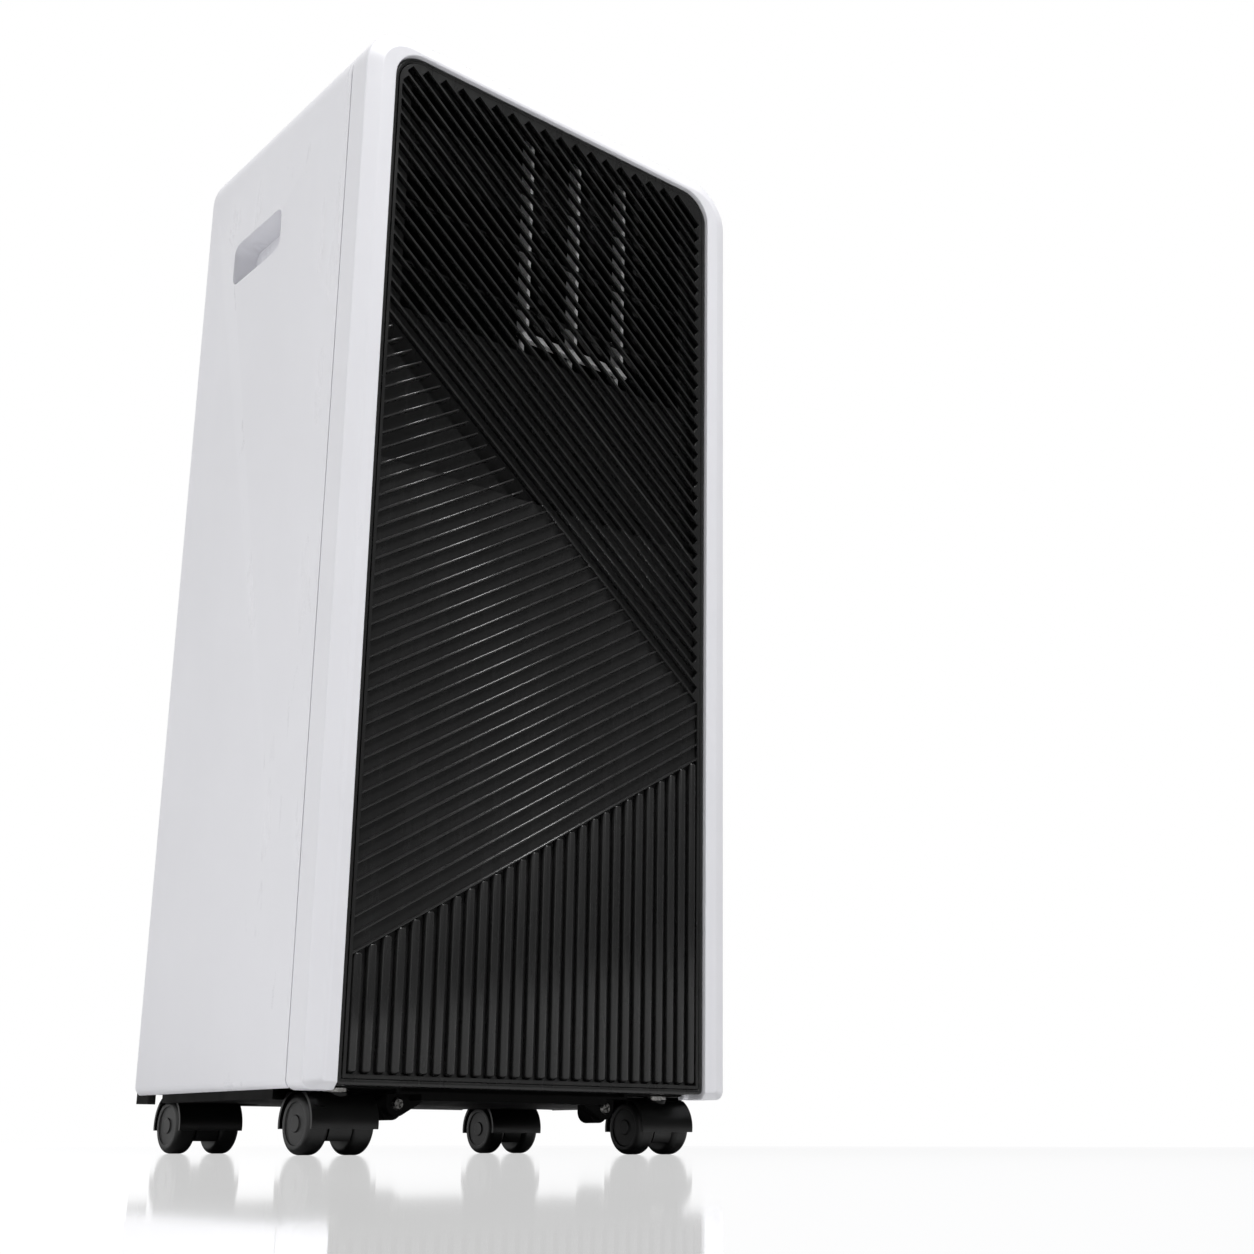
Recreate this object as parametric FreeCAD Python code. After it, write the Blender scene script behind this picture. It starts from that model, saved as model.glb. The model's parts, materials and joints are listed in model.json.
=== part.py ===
import FreeCAD, Part
import math
import os

# Compact portable air conditioner on four twin-wheel casters, in millimetres.
# +X is to the right as one faces the front, -Y is the front and +Z is up.
# The origin lies on the floor, at the middle of the outer box.

V = FreeCAD.Vector
AXIS_X, AXIS_Y, AXIS_Z = V(1, 0, 0), V(0, 1, 0), V(0, 0, 1)

# ---- casing -------------------------------------------------------------------
BODY_W = 300.0
BODY_D = 232.0
BODY_H = 660.0
WHEEL_D = 33.5              # caster wheels
WHEEL_CLEAR = 0.5           # wheel tops to the casing's lower edge
CASING_WALL = 2.5
TOP_CORNER_R = 30.0
BOTTOM_CORNER_R = 6.0
REAR_EDGE_R = 12.0
FIT_GAP = 0.4               # around every plate that drops into an opening
SEAM_GAP = 0.5              # shadow line between the front frame and the shell
EPS = 1.0                   # how far a cutting tool runs past a face
SMALLEST_GROOVE = 2.0       # area under which a clipped groove is left out

FLOOR_GAP = WHEEL_D + WHEEL_CLEAR
LEFT, RIGHT = -BODY_W / 2, BODY_W / 2
FRONT, REAR = -BODY_D / 2, BODY_D / 2
BOTTOM, TOP = FLOOR_GAP, FLOOR_GAP + BODY_H
FAR = 2 * TOP               # limit beyond every zone

# ---- front frame --------------------------------------------------------------
FRAME_DEPTH = 22.5
CHAMFER_ACROSS = 9.5
CHAMFER_BACK = 4.0
BEZEL_SIDE = 19.0
BEZEL_TOP = 12.0
PANEL_CORNER_R = 21.0
LEDGE_W = 4.0
LEDGE_T = 2.5
FRAME_BACK = FRONT + FRAME_DEPTH

# ---- black front panels -------------------------------------------------------
PANEL_RECESS = 2.5          # rib crests behind the bezel face
PANEL_DEPTH = 14.0
PANEL_FOOT = 3.0            # panel's lower edge above the casing's lower edge
PANEL_RIM = 5.5
PARTING_DROP = 290.0        # casing top down to the joint between the two panels
PANEL_SKIN = 3.0
CREST = FRONT + PANEL_RECESS
PANEL_BACK = CREST + PANEL_DEPTH
PARTING = TOP - PARTING_DROP

DIAGONAL_ANGLE = 39.0       # falls to the right
DIAGONAL_DROP = 194.4       # casing top to the first diagonal rib, at the left rim
DIAGONAL_PITCH = 8.3
DIAGONAL_RIB = 1.5
DIAGONAL_DEPTH = 4.0        # groove depth in the lower panel
BACKING_DEPTH = 9.0         # groove depth in the upper grille, beside the window
WEDGE_ANGLE = 30.8          # rises to the right
WEDGE_RISE = 72.5           # casing bottom to the first wedge rib, at the left rim
WEDGE_PITCH = 8.6
WEDGE_RIB = 1.8
WEDGE_DEPTH = 2.4
WEDGE_DEPTH_UPPER = 4.0
SHADOW_SLOT = 14.0          # vent beside the first diagonal rib
RIB_TIP_GAP = 5.0           # wedge ribs stop this far from the first diagonal rib
UPRIGHT_PITCH = 9.0
UPRIGHT_FIRST_X = 5.0
UPRIGHT_RIB = 5.6
UPRIGHT_DEPTH = 4.5
WINDOW_HALF_W = 113.0
WINDOW_TOP_DROP = 25.0
WINDOW_H = 159.0
TIE_RIB_T = 1.4
TIE_RIB_D = 2.8
TIE_RIB_COUNT = 3
TIE_RIB_PITCH = 43.0
TIE_RIB_FIRST = 31.0        # first tie rib above the window's lower edge
WINDOW_TOP = TOP - WINDOW_TOP_DROP
WINDOW_BOTTOM = WINDOW_TOP - WINDOW_H

# ---- outlet duct and swing vanes ----------------------------------------------
DUCT_WALL = 2.0
DUCT_HALF_W = 118.0
DUCT_SILL = 6.0             # duct floor below the window
DUCT_HEAD = 15.0            # duct roof above the window
DUCT_THROAT_LEN = 38.0      # level part of the floor behind the window
DUCT_HEAD_DROP = 26.0       # roof steps down behind the vanes
DUCT_REAR_H = 77.0
VANE_COUNT = 3
VANE_PITCH = 40.0
VANE_FIRST_X = -12.0
VANE_CHORD = 12.0
VANE_T = 2.6
VANE_EDGE_R = 1.0
VANE_PIVOT_BACK = 7.0       # pivot behind the vane's front edge
VANE_FRONT_GAP = 2.5        # behind the grille
VANE_LIFT = 28.0            # vane foot above the duct floor
VANE_HEAD_GAP = 2.0
VANE_FOOT_T = 2.0
VANE_STUB_R = 1.8
TIE_BAR_T = 5.0
TIE_BAR_W = 4.6
TIE_BAR_R = 1.8
TIE_BOSS_L = 3.0
TIE_PIN_R = 1.3
TIE_BOSS_R = 4.0
RUNNING_FIT = 0.05          # radial clearance of every pin, shaft and stem that turns
LINK_GAP = 0.4              # between faces that slide past each other
SWING_MOTOR_R = 11.0
SWING_MOTOR_H = 16.0
SWING_MOTOR_OFFSET = 6.0    # can's middle behind its shaft

# ---- fans ---------------------------------------------------------------------
BULKHEAD_Y = 4.0
BULKHEAD_T = 2.0
SCROLL_D = 58.0
SCROLL_WALL = 2.0
SCROLL_R_TONGUE = 70.0
SCROLL_R_OUT = 88.0
SCROLL_TONGUE_ANGLE = 80.0
SCROLL_POINTS = 12          # spans of the spiral
SCROLL_X = 15.0
INTAKE_R = 48.0
WHEEL_R = 62.0
WHEEL_W = 46.0
WHEEL_BLADES = 28
WHEEL_BLADE_T = 1.4
WHEEL_BLADE_CHORD = 10.0
WHEEL_PLATE_T = 2.0
WHEEL_HUB_R = 12.0
SHAFT_R = 4.0
MOTOR_R = 30.0
MOTOR_L = 44.0

# ---- cooling circuit ----------------------------------------------------------
COIL_Y = 74.0
COIL_T = 22.0
COIL_HALF_W = 118.0
COIL_TUBE_R = 3.5
COIL_ROWS = 8
COIL_END = 8.0
DECK_GAP = 3.0              # exhaust collar's tube up to the deck between the compartments
DECK_T = 3.0
DECK_LIP = 12.0
EVAPORATOR_HEAD = 64.0      # evaporator's top below the casing's
CONDENSER_HEAD = 15.0       # condenser's top below the exhaust duct's floor
COMPRESSOR_R = 44.0
COMPRESSOR_H = 190.0
COMPRESSOR_X, COMPRESSOR_Y = -66.0, -45.0
COMPRESSOR_DOME_R = 20.0
GROMMET_R, GROMMET_H, GROMMET_PCD = 8.0, 9.0, 68.0
GROMMET_TURN = 40.0         # first foot, from +X
ACCUMULATOR_R, ACCUMULATOR_H = 17.0, 120.0
PIPE_R = 4.0
PIPE_BEND_R = 12.0
PIPE_LANE_X = 134.0         # pipes run up beside the left wall
DISCHARGE_OFFSET = 11.0     # discharge port, left of the compressor's axis
DISCHARGE_RISE = 24.0       # level runs of the two pipes, above the compressor's head
SUCTION_RISE = 60.0

# ---- rear ---------------------------------------------------------------------
COVER_MARGIN = 16.0
COVER_FLANGE = 8.0
COVER_T = 2.5
COVER_FOOT = 8.0
COLLAR_BORE_R = 62.5
COLLAR_WALL = 2.5
COLLAR_RIM = 7.0
COLLAR_L = 20.0
COLLAR_Z = 300.0
SOCKET_STOP = 2.5           # shoulder that stops the hose's end fitting
FILTER_HALF_W = 118.0
FILTER_HEAD = 54.0          # filter's top below the casing's
FILTER_T = 7.5
FILTER_FRAME_W = 9.0
FILTER_RISE = 12.0          # filter opening above the deck
LOUVRE_PITCH = 11.0
LOUVRE_T = 3.0
INTAKE_SLOT_H = 4.0
INTAKE_SLOT_PITCH = 10.0
INTAKE_SLOTS = 17
INTAKE_SLOT_HALF_W = 104.0
INTAKE_FOOT = 44.0
SPINE_HALF_W = 5.0
DRAIN_X, DRAIN_Z = -80.0, 26.0
DRAIN_R, DRAIN_WALL, DRAIN_L = 5.0, 2.0, 14.0
PLUG_L = 8.4
PLUG_HEAD_R, PLUG_HEAD_T = 8.5, 3.4
GLAND_X, GLAND_Z = 102.0, 262.0
GLAND_R, GLAND_BORE_R = 8.0, 3.8
SCREW_R, SCREW_HEAD_R, SCREW_HEAD_T, SCREW_L = 1.6, 3.2, 1.4, 6.0
SCREW_SLOT_W, SCREW_SLOT_D = 0.8, 0.8
SCREW_SLOT_SHARE = 0.6      # slot's reach, as a share of the head's radius

DECK_Z = COLLAR_Z + COLLAR_BORE_R + COLLAR_WALL + DECK_GAP
EVAPORATOR_H = BODY_H - EVAPORATOR_HEAD - DECK_Z - DECK_T
FILTER_H = BODY_H - FILTER_HEAD - DECK_Z - FILTER_RISE

# ---- handle pockets -----------------------------------------------------------
POCKET_FRONT = 109.0        # from the front face
POCKET_LEN = 69.0
POCKET_DROP = 84.0          # casing top to the pocket's ceiling
POCKET_H = 31.0
POCKET_DEPTH = 16.0
POCKET_R = 7.0

# ---- controls -----------------------------------------------------------------
CONTROL_HALF_W = 78.0
CONTROL_FRONT = 62.0        # from the front face
CONTROL_D = 84.0
CONTROL_SINK = 0.8
CONTROL_LIP = 4.0
CONTROL_LIP_T = 1.8
CONTROL_R = 10.0
BUTTON_R = 7.0
BUTTON_PITCH = 26.0
BUTTON_BACK = 58.0          # button row behind the control panel's front edge
BUTTON_GAP = 0.3
BUTTON_EDGE_R = 0.6
BUTTON_NAMES = ("button_power", "button_mode", "button_fan", "button_up", "button_down")
DISPLAY_W, DISPLAY_D, DISPLAY_T = 66.0, 20.0, 1.2
DISPLAY_BACK = 22.0
BOARD_DROP = 7.0
BOARD_T = 1.6
BOARD_POST_R = 2.2
SWITCH_H = 2.2

# ---- base and casters ---------------------------------------------------------
TRAY_DROP = 4.0             # tray shows this much below the casing
TRAY_FLOOR_T = 5.0
TRAY_WALL = 2.5
TRAY_H = 38.0
WELL_SIDE_GAP = 1.2         # round the circle that a swivelling caster sweeps
WELL_CLEAR = 2.5
WELL_ROOF_T = 3.0
SOCKET_R = 9.0
SOCKET_H = 18.0
LUG_X = 74.8
LUG_BACK = 32.0             # lug's front face behind the casing's front
LUG_HALF_W, LUG_T, LUG_SCREW_DROP = 7.0, 6.0, 5.8
LUG_FLARE = 24.0            # lug's reach towards the middle, where it leaves the tray
LUG_BOSS_L, LUG_BOSS_DROP = 13.0, 2.0
LUG_NOTCH_H = 3.6
LUG_SCREW_R, LUG_SCREW_T = 3.8, 2.0
CASTER_X = 115.0
CASTER_FRONT_Y, CASTER_REAR_Y = -79.0, 88.0
CASTER_TRAIL = 6.0          # swivel axis ahead of the axle
WHEEL_TREAD_W = 13.0
CASTER_WEB = 14.0
WHEEL_SIDE_GAP = 0.5
WHEEL_EDGE_R = 3.5
WHEEL_DISH_R, WHEEL_DISH_D = 11.6, 0.8
WHEEL_CAP_R = 4.6
AXLE_R = 2.5
AXLE_END_GAP = 2.6          # axle's end inside the wheel's outer face
WEB_R = 15.0
WEB_DROP = 9.2              # web's lower edge below the axle
STEM_R = 4.0
STEM_FLANGE_R = 7.0
STEM_OVER_AXLE = 2.0        # stem's lower end above the axle
HOOD_CLEAR = 1.0
HOOD_T = 1.8
HOOD_SKIRT = 2.8            # hood's lower edge below the axle
GUARD_HALF = CASTER_WEB / 2 + WHEEL_SIDE_GAP + WHEEL_TREAD_W
SWIVEL_R = math.hypot(CASTER_TRAIL + WHEEL_D / 2 + HOOD_CLEAR + HOOD_T, GUARD_HALF)
WELL_R = SWIVEL_R + WELL_SIDE_GAP


# ---- helpers ------------------------------------------------------------------
def block(x0, x1, y0, y1, z0, z1):
    return Part.makeBox(x1 - x0, y1 - y0, z1 - z0, V(x0, y0, z0))


def rod(radius, length, start, axis=AXIS_Z):
    return Part.makeCylinder(radius, length, start, axis)


def ring(outer, inner, length, start, axis=AXIS_Z):
    bore_start = start - axis * EPS
    return rod(outer, length, start, axis).cut(rod(inner, length + 2 * EPS, bore_start, axis))


def join(shapes):
    shapes = list(shapes)
    return shapes[0].multiFuse(shapes[1:]).removeSplitter() if len(shapes) > 1 else shapes[0]


def slab_y(points, y0, y1):
    """Polygon of (x, z) points, as a slab from y0 to y1."""
    wire = Part.makePolygon([V(x, y0, z) for x, z in points] + [V(points[0][0], y0, points[0][1])])
    return Part.Face(wire).extrude(V(0, y1 - y0, 0))


def slab_x(points, x0, x1):
    """Polygon of (y, z) points, as a slab from x0 to x1."""
    wire = Part.makePolygon([V(x0, y, z) for y, z in points] + [V(x0, points[0][0], points[0][1])])
    return Part.Face(wire).extrude(V(x1 - x0, 0, 0))


def rounded_block(x0, x1, y0, y1, z0, z1, radius, axis):
    """Block with the four edges along one axis rounded."""
    body = block(x0, x1, y0, y1, z0, z1)
    edges = [e for e in body.Edges if abs(abs(e.tangentAt(0).dot(axis)) - 1) < 1e-6]
    return body.makeFillet(radius, edges)


def corner(centre_x, centre_z, radius, start_deg, y):
    """Quarter arc in an XZ plane, counterclockwise from start_deg."""
    ends = [math.radians(start_deg + a) for a in (0, 45, 90)]
    points = [V(centre_x + radius * math.cos(a), y, centre_z + radius * math.sin(a)) for a in ends]
    return Part.Arc(*points).toShape()


def arch_wire(half_w, z0, z1, top_r, foot_r, y):
    """Upright outline in an XZ plane: large rounded top corners, small lower ones."""
    arcs = [
        corner(half_w - top_r, z1 - top_r, top_r, 0, y),
        corner(top_r - half_w, z1 - top_r, top_r, 90, y),
        corner(foot_r - half_w, z0 + foot_r, foot_r, 180, y),
        corner(half_w - foot_r, z0 + foot_r, foot_r, 270, y),
    ]
    edges = []
    for arc, following in zip(arcs, arcs[1:] + arcs[:1]):
        line = Part.LineSegment(arc.Vertexes[-1].Point, following.Vertexes[0].Point).toShape()
        edges += [arc, line]
    return Part.Wire(edges)


def arch(half_w, z0, z1, top_r, foot_r, y0, y1):
    return Part.Face(arch_wire(half_w, z0, z1, top_r, foot_r, y0)).extrude(V(0, y1 - y0, 0))


def casing_solid(inset, y0, y1):
    """The casing's outline, moved inwards by inset, from y0 to y1."""
    foot_r = max(BOTTOM_CORNER_R - inset, EPS)
    return arch(BODY_W / 2 - inset, BOTTOM + inset, TOP - inset, TOP_CORNER_R - inset, foot_r, y0, y1)


def keep_side(polygon, normal, limit):
    """Part of a convex polygon where normal . point <= limit."""
    kept = []
    for a, b in zip(polygon, polygon[1:] + polygon[:1]):
        side_a = normal[0] * a[0] + normal[1] * a[1] - limit
        side_b = normal[0] * b[0] + normal[1] * b[1] - limit
        if side_a <= 0:
            kept.append(a)
        if side_a * side_b < 0:
            share = side_a / (side_a - side_b)
            kept.append((a[0] + share * (b[0] - a[0]), a[1] + share * (b[1] - a[1])))
    return kept


def band(polygon, normal, low, high):
    inside = keep_side(polygon, normal, high)
    return keep_side(inside, (-normal[0], -normal[1]), -low) if inside else []


def area(polygon):
    pairs = zip(polygon, polygon[1:] + polygon[:1])
    return abs(sum(a[0] * b[1] - b[0] * a[1] for a, b in pairs)) / 2


def grooves(zone, normal, first, pitch, rib, depth):
    """Straight grooves across a convex zone, which leave ribs of one width between them."""
    heights = [normal[0] * x + normal[1] * z for x, z in zone]
    start = math.floor((min(heights) - first) / pitch)
    stop = math.ceil((max(heights) - first) / pitch)
    cuts = []
    for k in range(start, stop + 1):
        crest = first + k * pitch
        strip = band(zone, normal, crest + rib / 2, crest + pitch - rib / 2)
        if len(strip) > 2 and area(strip) > SMALLEST_GROOVE:
            cuts.append(slab_y(strip, CREST - EPS, CREST + depth))
    return cuts


# ---- front panels -------------------------------------------------------------
def slope_normal(angle_deg):
    angle = math.radians(angle_deg)
    return (-math.sin(angle), math.cos(angle))


def panel_half_w():
    return BODY_W / 2 - BEZEL_SIDE - FIT_GAP


DIAGONAL_NORMAL = slope_normal(-DIAGONAL_ANGLE)
WEDGE_NORMAL = slope_normal(WEDGE_ANGLE)
ZONE_HALF_W = panel_half_w() - PANEL_RIM
ZONE_TOP = TOP - BEZEL_TOP - FIT_GAP - PANEL_RIM
ZONE_FOOT = BOTTOM + PANEL_FOOT + PANEL_RIM
DIAGONAL_FIRST = DIAGONAL_NORMAL[0] * -ZONE_HALF_W + DIAGONAL_NORMAL[1] * (TOP - DIAGONAL_DROP)
WEDGE_FIRST = WEDGE_NORMAL[0] * -ZONE_HALF_W + WEDGE_NORMAL[1] * (BOTTOM + WEDGE_RISE)


def zone_between(z0, z1):
    """Ribbed field between two heights, with its corners cut back inside the panel's rounded ones."""
    zone = [(-ZONE_HALF_W, z0), (ZONE_HALF_W, z0), (ZONE_HALF_W, z1), (-ZONE_HALF_W, z1)]
    half = math.sqrt(0.5)
    centre_x = panel_half_w() - PANEL_CORNER_R
    centre_z = ZONE_TOP + PANEL_RIM - PANEL_CORNER_R
    limit = half * (centre_x + centre_z) + PANEL_CORNER_R - PANEL_RIM
    return keep_side(keep_side(zone, (half, half), limit), (-half, half), limit)


def above_diagonal(zone):
    return band(zone, DIAGONAL_NORMAL, DIAGONAL_FIRST + DIAGONAL_RIB / 2, FAR)


def between_boundaries(zone, gap):
    """Wedge-rib zone: above the first wedge rib and below the first diagonal rib."""
    below = keep_side(zone, DIAGONAL_NORMAL, DIAGONAL_FIRST - DIAGONAL_RIB / 2 - gap)
    return band(below, WEDGE_NORMAL, WEDGE_FIRST + WEDGE_RIB / 2, FAR)


def diagonal_grooves(zone, depth):
    return grooves(zone, DIAGONAL_NORMAL, DIAGONAL_FIRST, DIAGONAL_PITCH, DIAGONAL_RIB, depth)


def wedge_grooves(zone, depth):
    return grooves(zone, WEDGE_NORMAL, WEDGE_FIRST, WEDGE_PITCH, WEDGE_RIB, depth)


def panel_blank():
    return arch(panel_half_w(), BOTTOM + PANEL_FOOT, TOP - BEZEL_TOP - FIT_GAP,
                PANEL_CORNER_R, BOTTOM_CORNER_R / 2, CREST, PANEL_BACK)


def lower_panel():
    half_space = block(LEFT, RIGHT, FRONT, REAR, 0, PARTING - FIT_GAP / 2)
    body = panel_blank().common(half_space)
    hollow_half_w = panel_half_w() - PANEL_SKIN
    hollow = block(-hollow_half_w, hollow_half_w, CREST + UPRIGHT_DEPTH + PANEL_SKIN, PANEL_BACK + EPS,
                   BOTTOM + PANEL_FOOT + PANEL_SKIN, PARTING - PANEL_SKIN)
    zone = zone_between(ZONE_FOOT, PARTING)
    upright_zone = keep_side(zone, WEDGE_NORMAL, WEDGE_FIRST - WEDGE_RIB / 2)
    cuts = diagonal_grooves(above_diagonal(zone), DIAGONAL_DEPTH)
    cuts += wedge_grooves(between_boundaries(zone, 0), WEDGE_DEPTH)
    cuts += grooves(upright_zone, (1, 0), UPRIGHT_FIRST_X, UPRIGHT_PITCH, UPRIGHT_RIB, UPRIGHT_DEPTH)
    return body.cut(hollow).cut(Part.makeCompound(cuts))


def upper_grille():
    half_space = block(LEFT, RIGHT, FRONT, REAR, PARTING + FIT_GAP / 2, TOP)
    body = panel_blank().common(half_space)
    zone = zone_between(PARTING, ZONE_TOP)
    window_y = CREST + BACKING_DEPTH - FIT_GAP
    window = block(-WINDOW_HALF_W, WINDOW_HALF_W, window_y, PANEL_BACK + EPS, WINDOW_BOTTOM, WINDOW_TOP)
    body = body.cut(window)
    body = body.cut(Part.makeCompound(diagonal_grooves(above_diagonal(zone), BACKING_DEPTH)))
    wedge_zone = between_boundaries(zone, 0)
    slot_zone = band(wedge_zone, DIAGONAL_NORMAL, DIAGONAL_FIRST - SHADOW_SLOT, FAR)
    tip_zone = band(wedge_zone, DIAGONAL_NORMAL, DIAGONAL_FIRST - RIB_TIP_GAP, FAR)
    body = body.cut(Part.makeCompound(wedge_grooves(wedge_zone, WEDGE_DEPTH_UPPER)))
    body = body.cut(Part.makeCompound(wedge_grooves(slot_zone, BACKING_DEPTH)))
    body = body.cut(slab_y(tip_zone, CREST - EPS, CREST + BACKING_DEPTH))
    ties = []
    for k in range(TIE_RIB_COUNT):
        z = WINDOW_BOTTOM + TIE_RIB_FIRST + k * TIE_RIB_PITCH
        tie_y, tie_half_w = window_y - EPS, WINDOW_HALF_W + EPS
        z0, z1 = z - TIE_RIB_T / 2, z + TIE_RIB_T / 2
        ties.append(block(-tie_half_w, tie_half_w, tie_y, tie_y + TIE_RIB_D, z0, z1))
    return body.multiFuse(ties)


def front_frame():
    """White bezel: chamfered arch round the panels, hollow behind, with a ledge for them."""
    chamfer_y = FRONT + CHAMFER_BACK
    inset_foot_r = BOTTOM_CORNER_R / 2
    face = arch_wire(BODY_W / 2 - CHAMFER_ACROSS, BOTTOM + CHAMFER_BACK, TOP - CHAMFER_ACROSS,
                     TOP_CORNER_R - CHAMFER_ACROSS, inset_foot_r, FRONT)
    edge = arch_wire(BODY_W / 2, BOTTOM, TOP, TOP_CORNER_R, BOTTOM_CORNER_R, chamfer_y)
    body = Part.makeLoft([face, edge], True).fuse(casing_solid(0, chamfer_y, FRAME_BACK))
    opening_w = BODY_W / 2 - BEZEL_SIDE
    opening_top = TOP - BEZEL_TOP
    below = BOTTOM - 2 * BOTTOM_CORNER_R
    opening = arch(opening_w, below, opening_top, PANEL_CORNER_R, inset_foot_r, FRONT - EPS, PANEL_BACK)
    throat = arch(opening_w - LEDGE_W, below, opening_top - LEDGE_W, PANEL_CORNER_R - LEDGE_W,
                  BOTTOM_CORNER_R / 2, PANEL_BACK - EPS, FRAME_BACK + EPS)
    hollow_y = PANEL_BACK + LEDGE_T
    hollow = casing_solid(CASING_WALL, hollow_y, FRAME_BACK + EPS)
    channel = casing_solid(CHAMFER_ACROSS / 2, chamfer_y + CASING_WALL, hollow_y + EPS)
    cheek = arch(opening_w + CASING_WALL, below, opening_top + CASING_WALL, PANEL_CORNER_R + CASING_WALL,
                 BOTTOM_CORNER_R / 2, FRONT - EPS, hollow_y + 2 * EPS)
    return body.cut(opening).cut(throat).cut(hollow).cut(channel.cut(cheek))


# ---- shells -------------------------------------------------------------------
def pocket_block(side, grow):
    """Finger pocket in one side wall; grow thickens it into the cup's outside."""
    y0 = FRONT + POCKET_FRONT - grow
    y1 = FRONT + POCKET_FRONT + POCKET_LEN + grow
    z1 = TOP - POCKET_DROP + grow
    z0 = TOP - POCKET_DROP - POCKET_H - grow
    outer = RIGHT + EPS if grow == 0 else RIGHT - EPS
    x0, x1 = sorted((side * outer, side * (RIGHT - POCKET_DEPTH - grow)))
    return rounded_block(x0, x1, y0, y1, z0, z1, POCKET_R + grow, AXIS_X)


def cover_outline(inset, y0, y1):
    half_w = BODY_W / 2 - COVER_MARGIN - inset
    return rounded_block(-half_w, half_w, y0, y1, BOTTOM + COVER_FOOT + inset, TOP - COVER_MARGIN - inset,
                         REAR_EDGE_R, AXIS_Y)


def control_opening(inset, z0, z1):
    y0 = FRONT + CONTROL_FRONT
    half_w = CONTROL_HALF_W - inset
    y1 = y0 + CONTROL_D
    return rounded_block(-half_w, half_w, y0 + inset, y1 - inset, z0, z1, CONTROL_R - inset, AXIS_Z)


def main_shell():
    """Sides, top and rear corners in one piece, open at the front, the foot and the back."""
    outside = casing_solid(0, FRAME_BACK + SEAM_GAP, REAR)
    rear_edges = [e for e in outside.Edges if all(abs(v.Point.y - REAR) < 1e-6 for v in e.Vertexes)]
    outside = outside.makeFillet(REAR_EDGE_R, rear_edges)
    inner_top_r = TOP_CORNER_R - CASING_WALL
    inside = arch(BODY_W / 2 - CASING_WALL, BOTTOM - 2 * BOTTOM_CORNER_R, TOP - CASING_WALL, inner_top_r,
                  BOTTOM_CORNER_R / 2, FRAME_BACK, REAR - COVER_T - CASING_WALL)
    shell = outside.cut(inside)
    shell = shell.cut(cover_outline(0, REAR - COVER_T, REAR + EPS))
    shell = shell.cut(cover_outline(COVER_FLANGE, REAR - 3 * CASING_WALL, REAR + EPS))
    for side in (-1, 1):
        shell = shell.fuse(pocket_block(side, CASING_WALL)).cut(pocket_block(side, 0))
    shell = shell.cut(control_opening(0, TOP - 2 * CASING_WALL, TOP + EPS))
    for x, z in cover_screw_places():
        shell = shell.cut(rod(SCREW_R, SCREW_L, V(x, REAR - SCREW_L, z), AXIS_Y))
    return shell.removeSplitter()


def cover_screw_places():
    """Three screws down each long edge of the back cover, over the shell's flange."""
    x = BODY_W / 2 - COVER_MARGIN - COVER_FLANGE / 2 - FIT_GAP
    z0, z1 = BOTTOM + COVER_FOOT + REAR_EDGE_R, TOP - COVER_MARGIN - REAR_EDGE_R
    return [(side * x, z) for side in (-1, 1) for z in (z0, (z0 + z1) / 2, z1)]


def filter_zone(grow, y0, y1):
    z0 = BOTTOM + DECK_Z + FILTER_RISE
    half_w = FILTER_HALF_W + grow
    return rounded_block(-half_w, half_w, y0, y1, z0 - grow, z0 + FILTER_H + grow, FILTER_FRAME_W, AXIS_Y)


def collar_axis(y):
    return V(0, y, BOTTOM + COLLAR_Z)


def back_cover():
    """Rear panel: filter opening, exhaust hole and a field of intake slots."""
    y0 = REAR - COVER_T
    cover = cover_outline(FIT_GAP, y0, REAR)
    cover = cover.cut(filter_zone(FIT_GAP, y0 - EPS, REAR + EPS))
    collar_hole_r = COLLAR_BORE_R + COLLAR_WALL + FIT_GAP
    cover = cover.cut(rod(collar_hole_r, COVER_T + 2 * EPS, collar_axis(y0 - EPS), AXIS_Y))
    slots = []
    for k in range(INTAKE_SLOTS):
        z = BOTTOM + INTAKE_FOOT + k * INTAKE_SLOT_PITCH
        for side in (-1, 1):
            x0, x1 = sorted((side * SPINE_HALF_W, side * INTAKE_SLOT_HALF_W))
            slots.append(block(x0, x1, y0 - EPS, REAR + EPS, z, z + INTAKE_SLOT_H))
    cover = cover.cut(Part.makeCompound(slots))
    drain_at = V(DRAIN_X, y0 - EPS, BOTTOM + DRAIN_Z)
    cover = cover.cut(rod(PLUG_HEAD_R + FIT_GAP, COVER_T + 2 * EPS, drain_at, AXIS_Y))
    gland_at = V(GLAND_X, y0 - EPS, BOTTOM + GLAND_Z)
    cover = cover.cut(rod(GLAND_R - COVER_T, COVER_T + 2 * EPS, gland_at, AXIS_Y))
    for x, z in cover_screw_places():
        cover = cover.cut(rod(SCREW_R, COVER_T + 2 * EPS, V(x, y0 - EPS, z), AXIS_Y))
        head_at = V(x, REAR - SCREW_HEAD_T, z)
        cover = cover.cut(rod(SCREW_HEAD_R + BUTTON_GAP, 2 * SCREW_HEAD_T, head_at, AXIS_Y))
    return cover


def screw(head_face, axis, head_r, head_t, length):
    """Cross-head screw; head_face is the middle of its face and axis points out of it."""
    head = rod(head_r, head_t, head_face - axis * head_t, axis)
    shank = rod(SCREW_R, length, head_face - axis * (head_t + length), axis)
    body = head.fuse(shank)
    reach = head_r * SCREW_SLOT_SHARE
    for across in (AXIS_X, AXIS_Z):
        other = AXIS_Z if across is AXIS_X else AXIS_X
        start = head_face - axis * SCREW_SLOT_D - across * reach - other * (SCREW_SLOT_W / 2)
        far = head_face + axis * EPS + across * reach + other * (SCREW_SLOT_W / 2)
        low = V(min(start.x, far.x), min(start.y, far.y), min(start.z, far.z))
        body = body.cut(Part.makeBox(abs(far.x - start.x), abs(far.y - start.y), abs(far.z - start.z), low))
    return body


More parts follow.
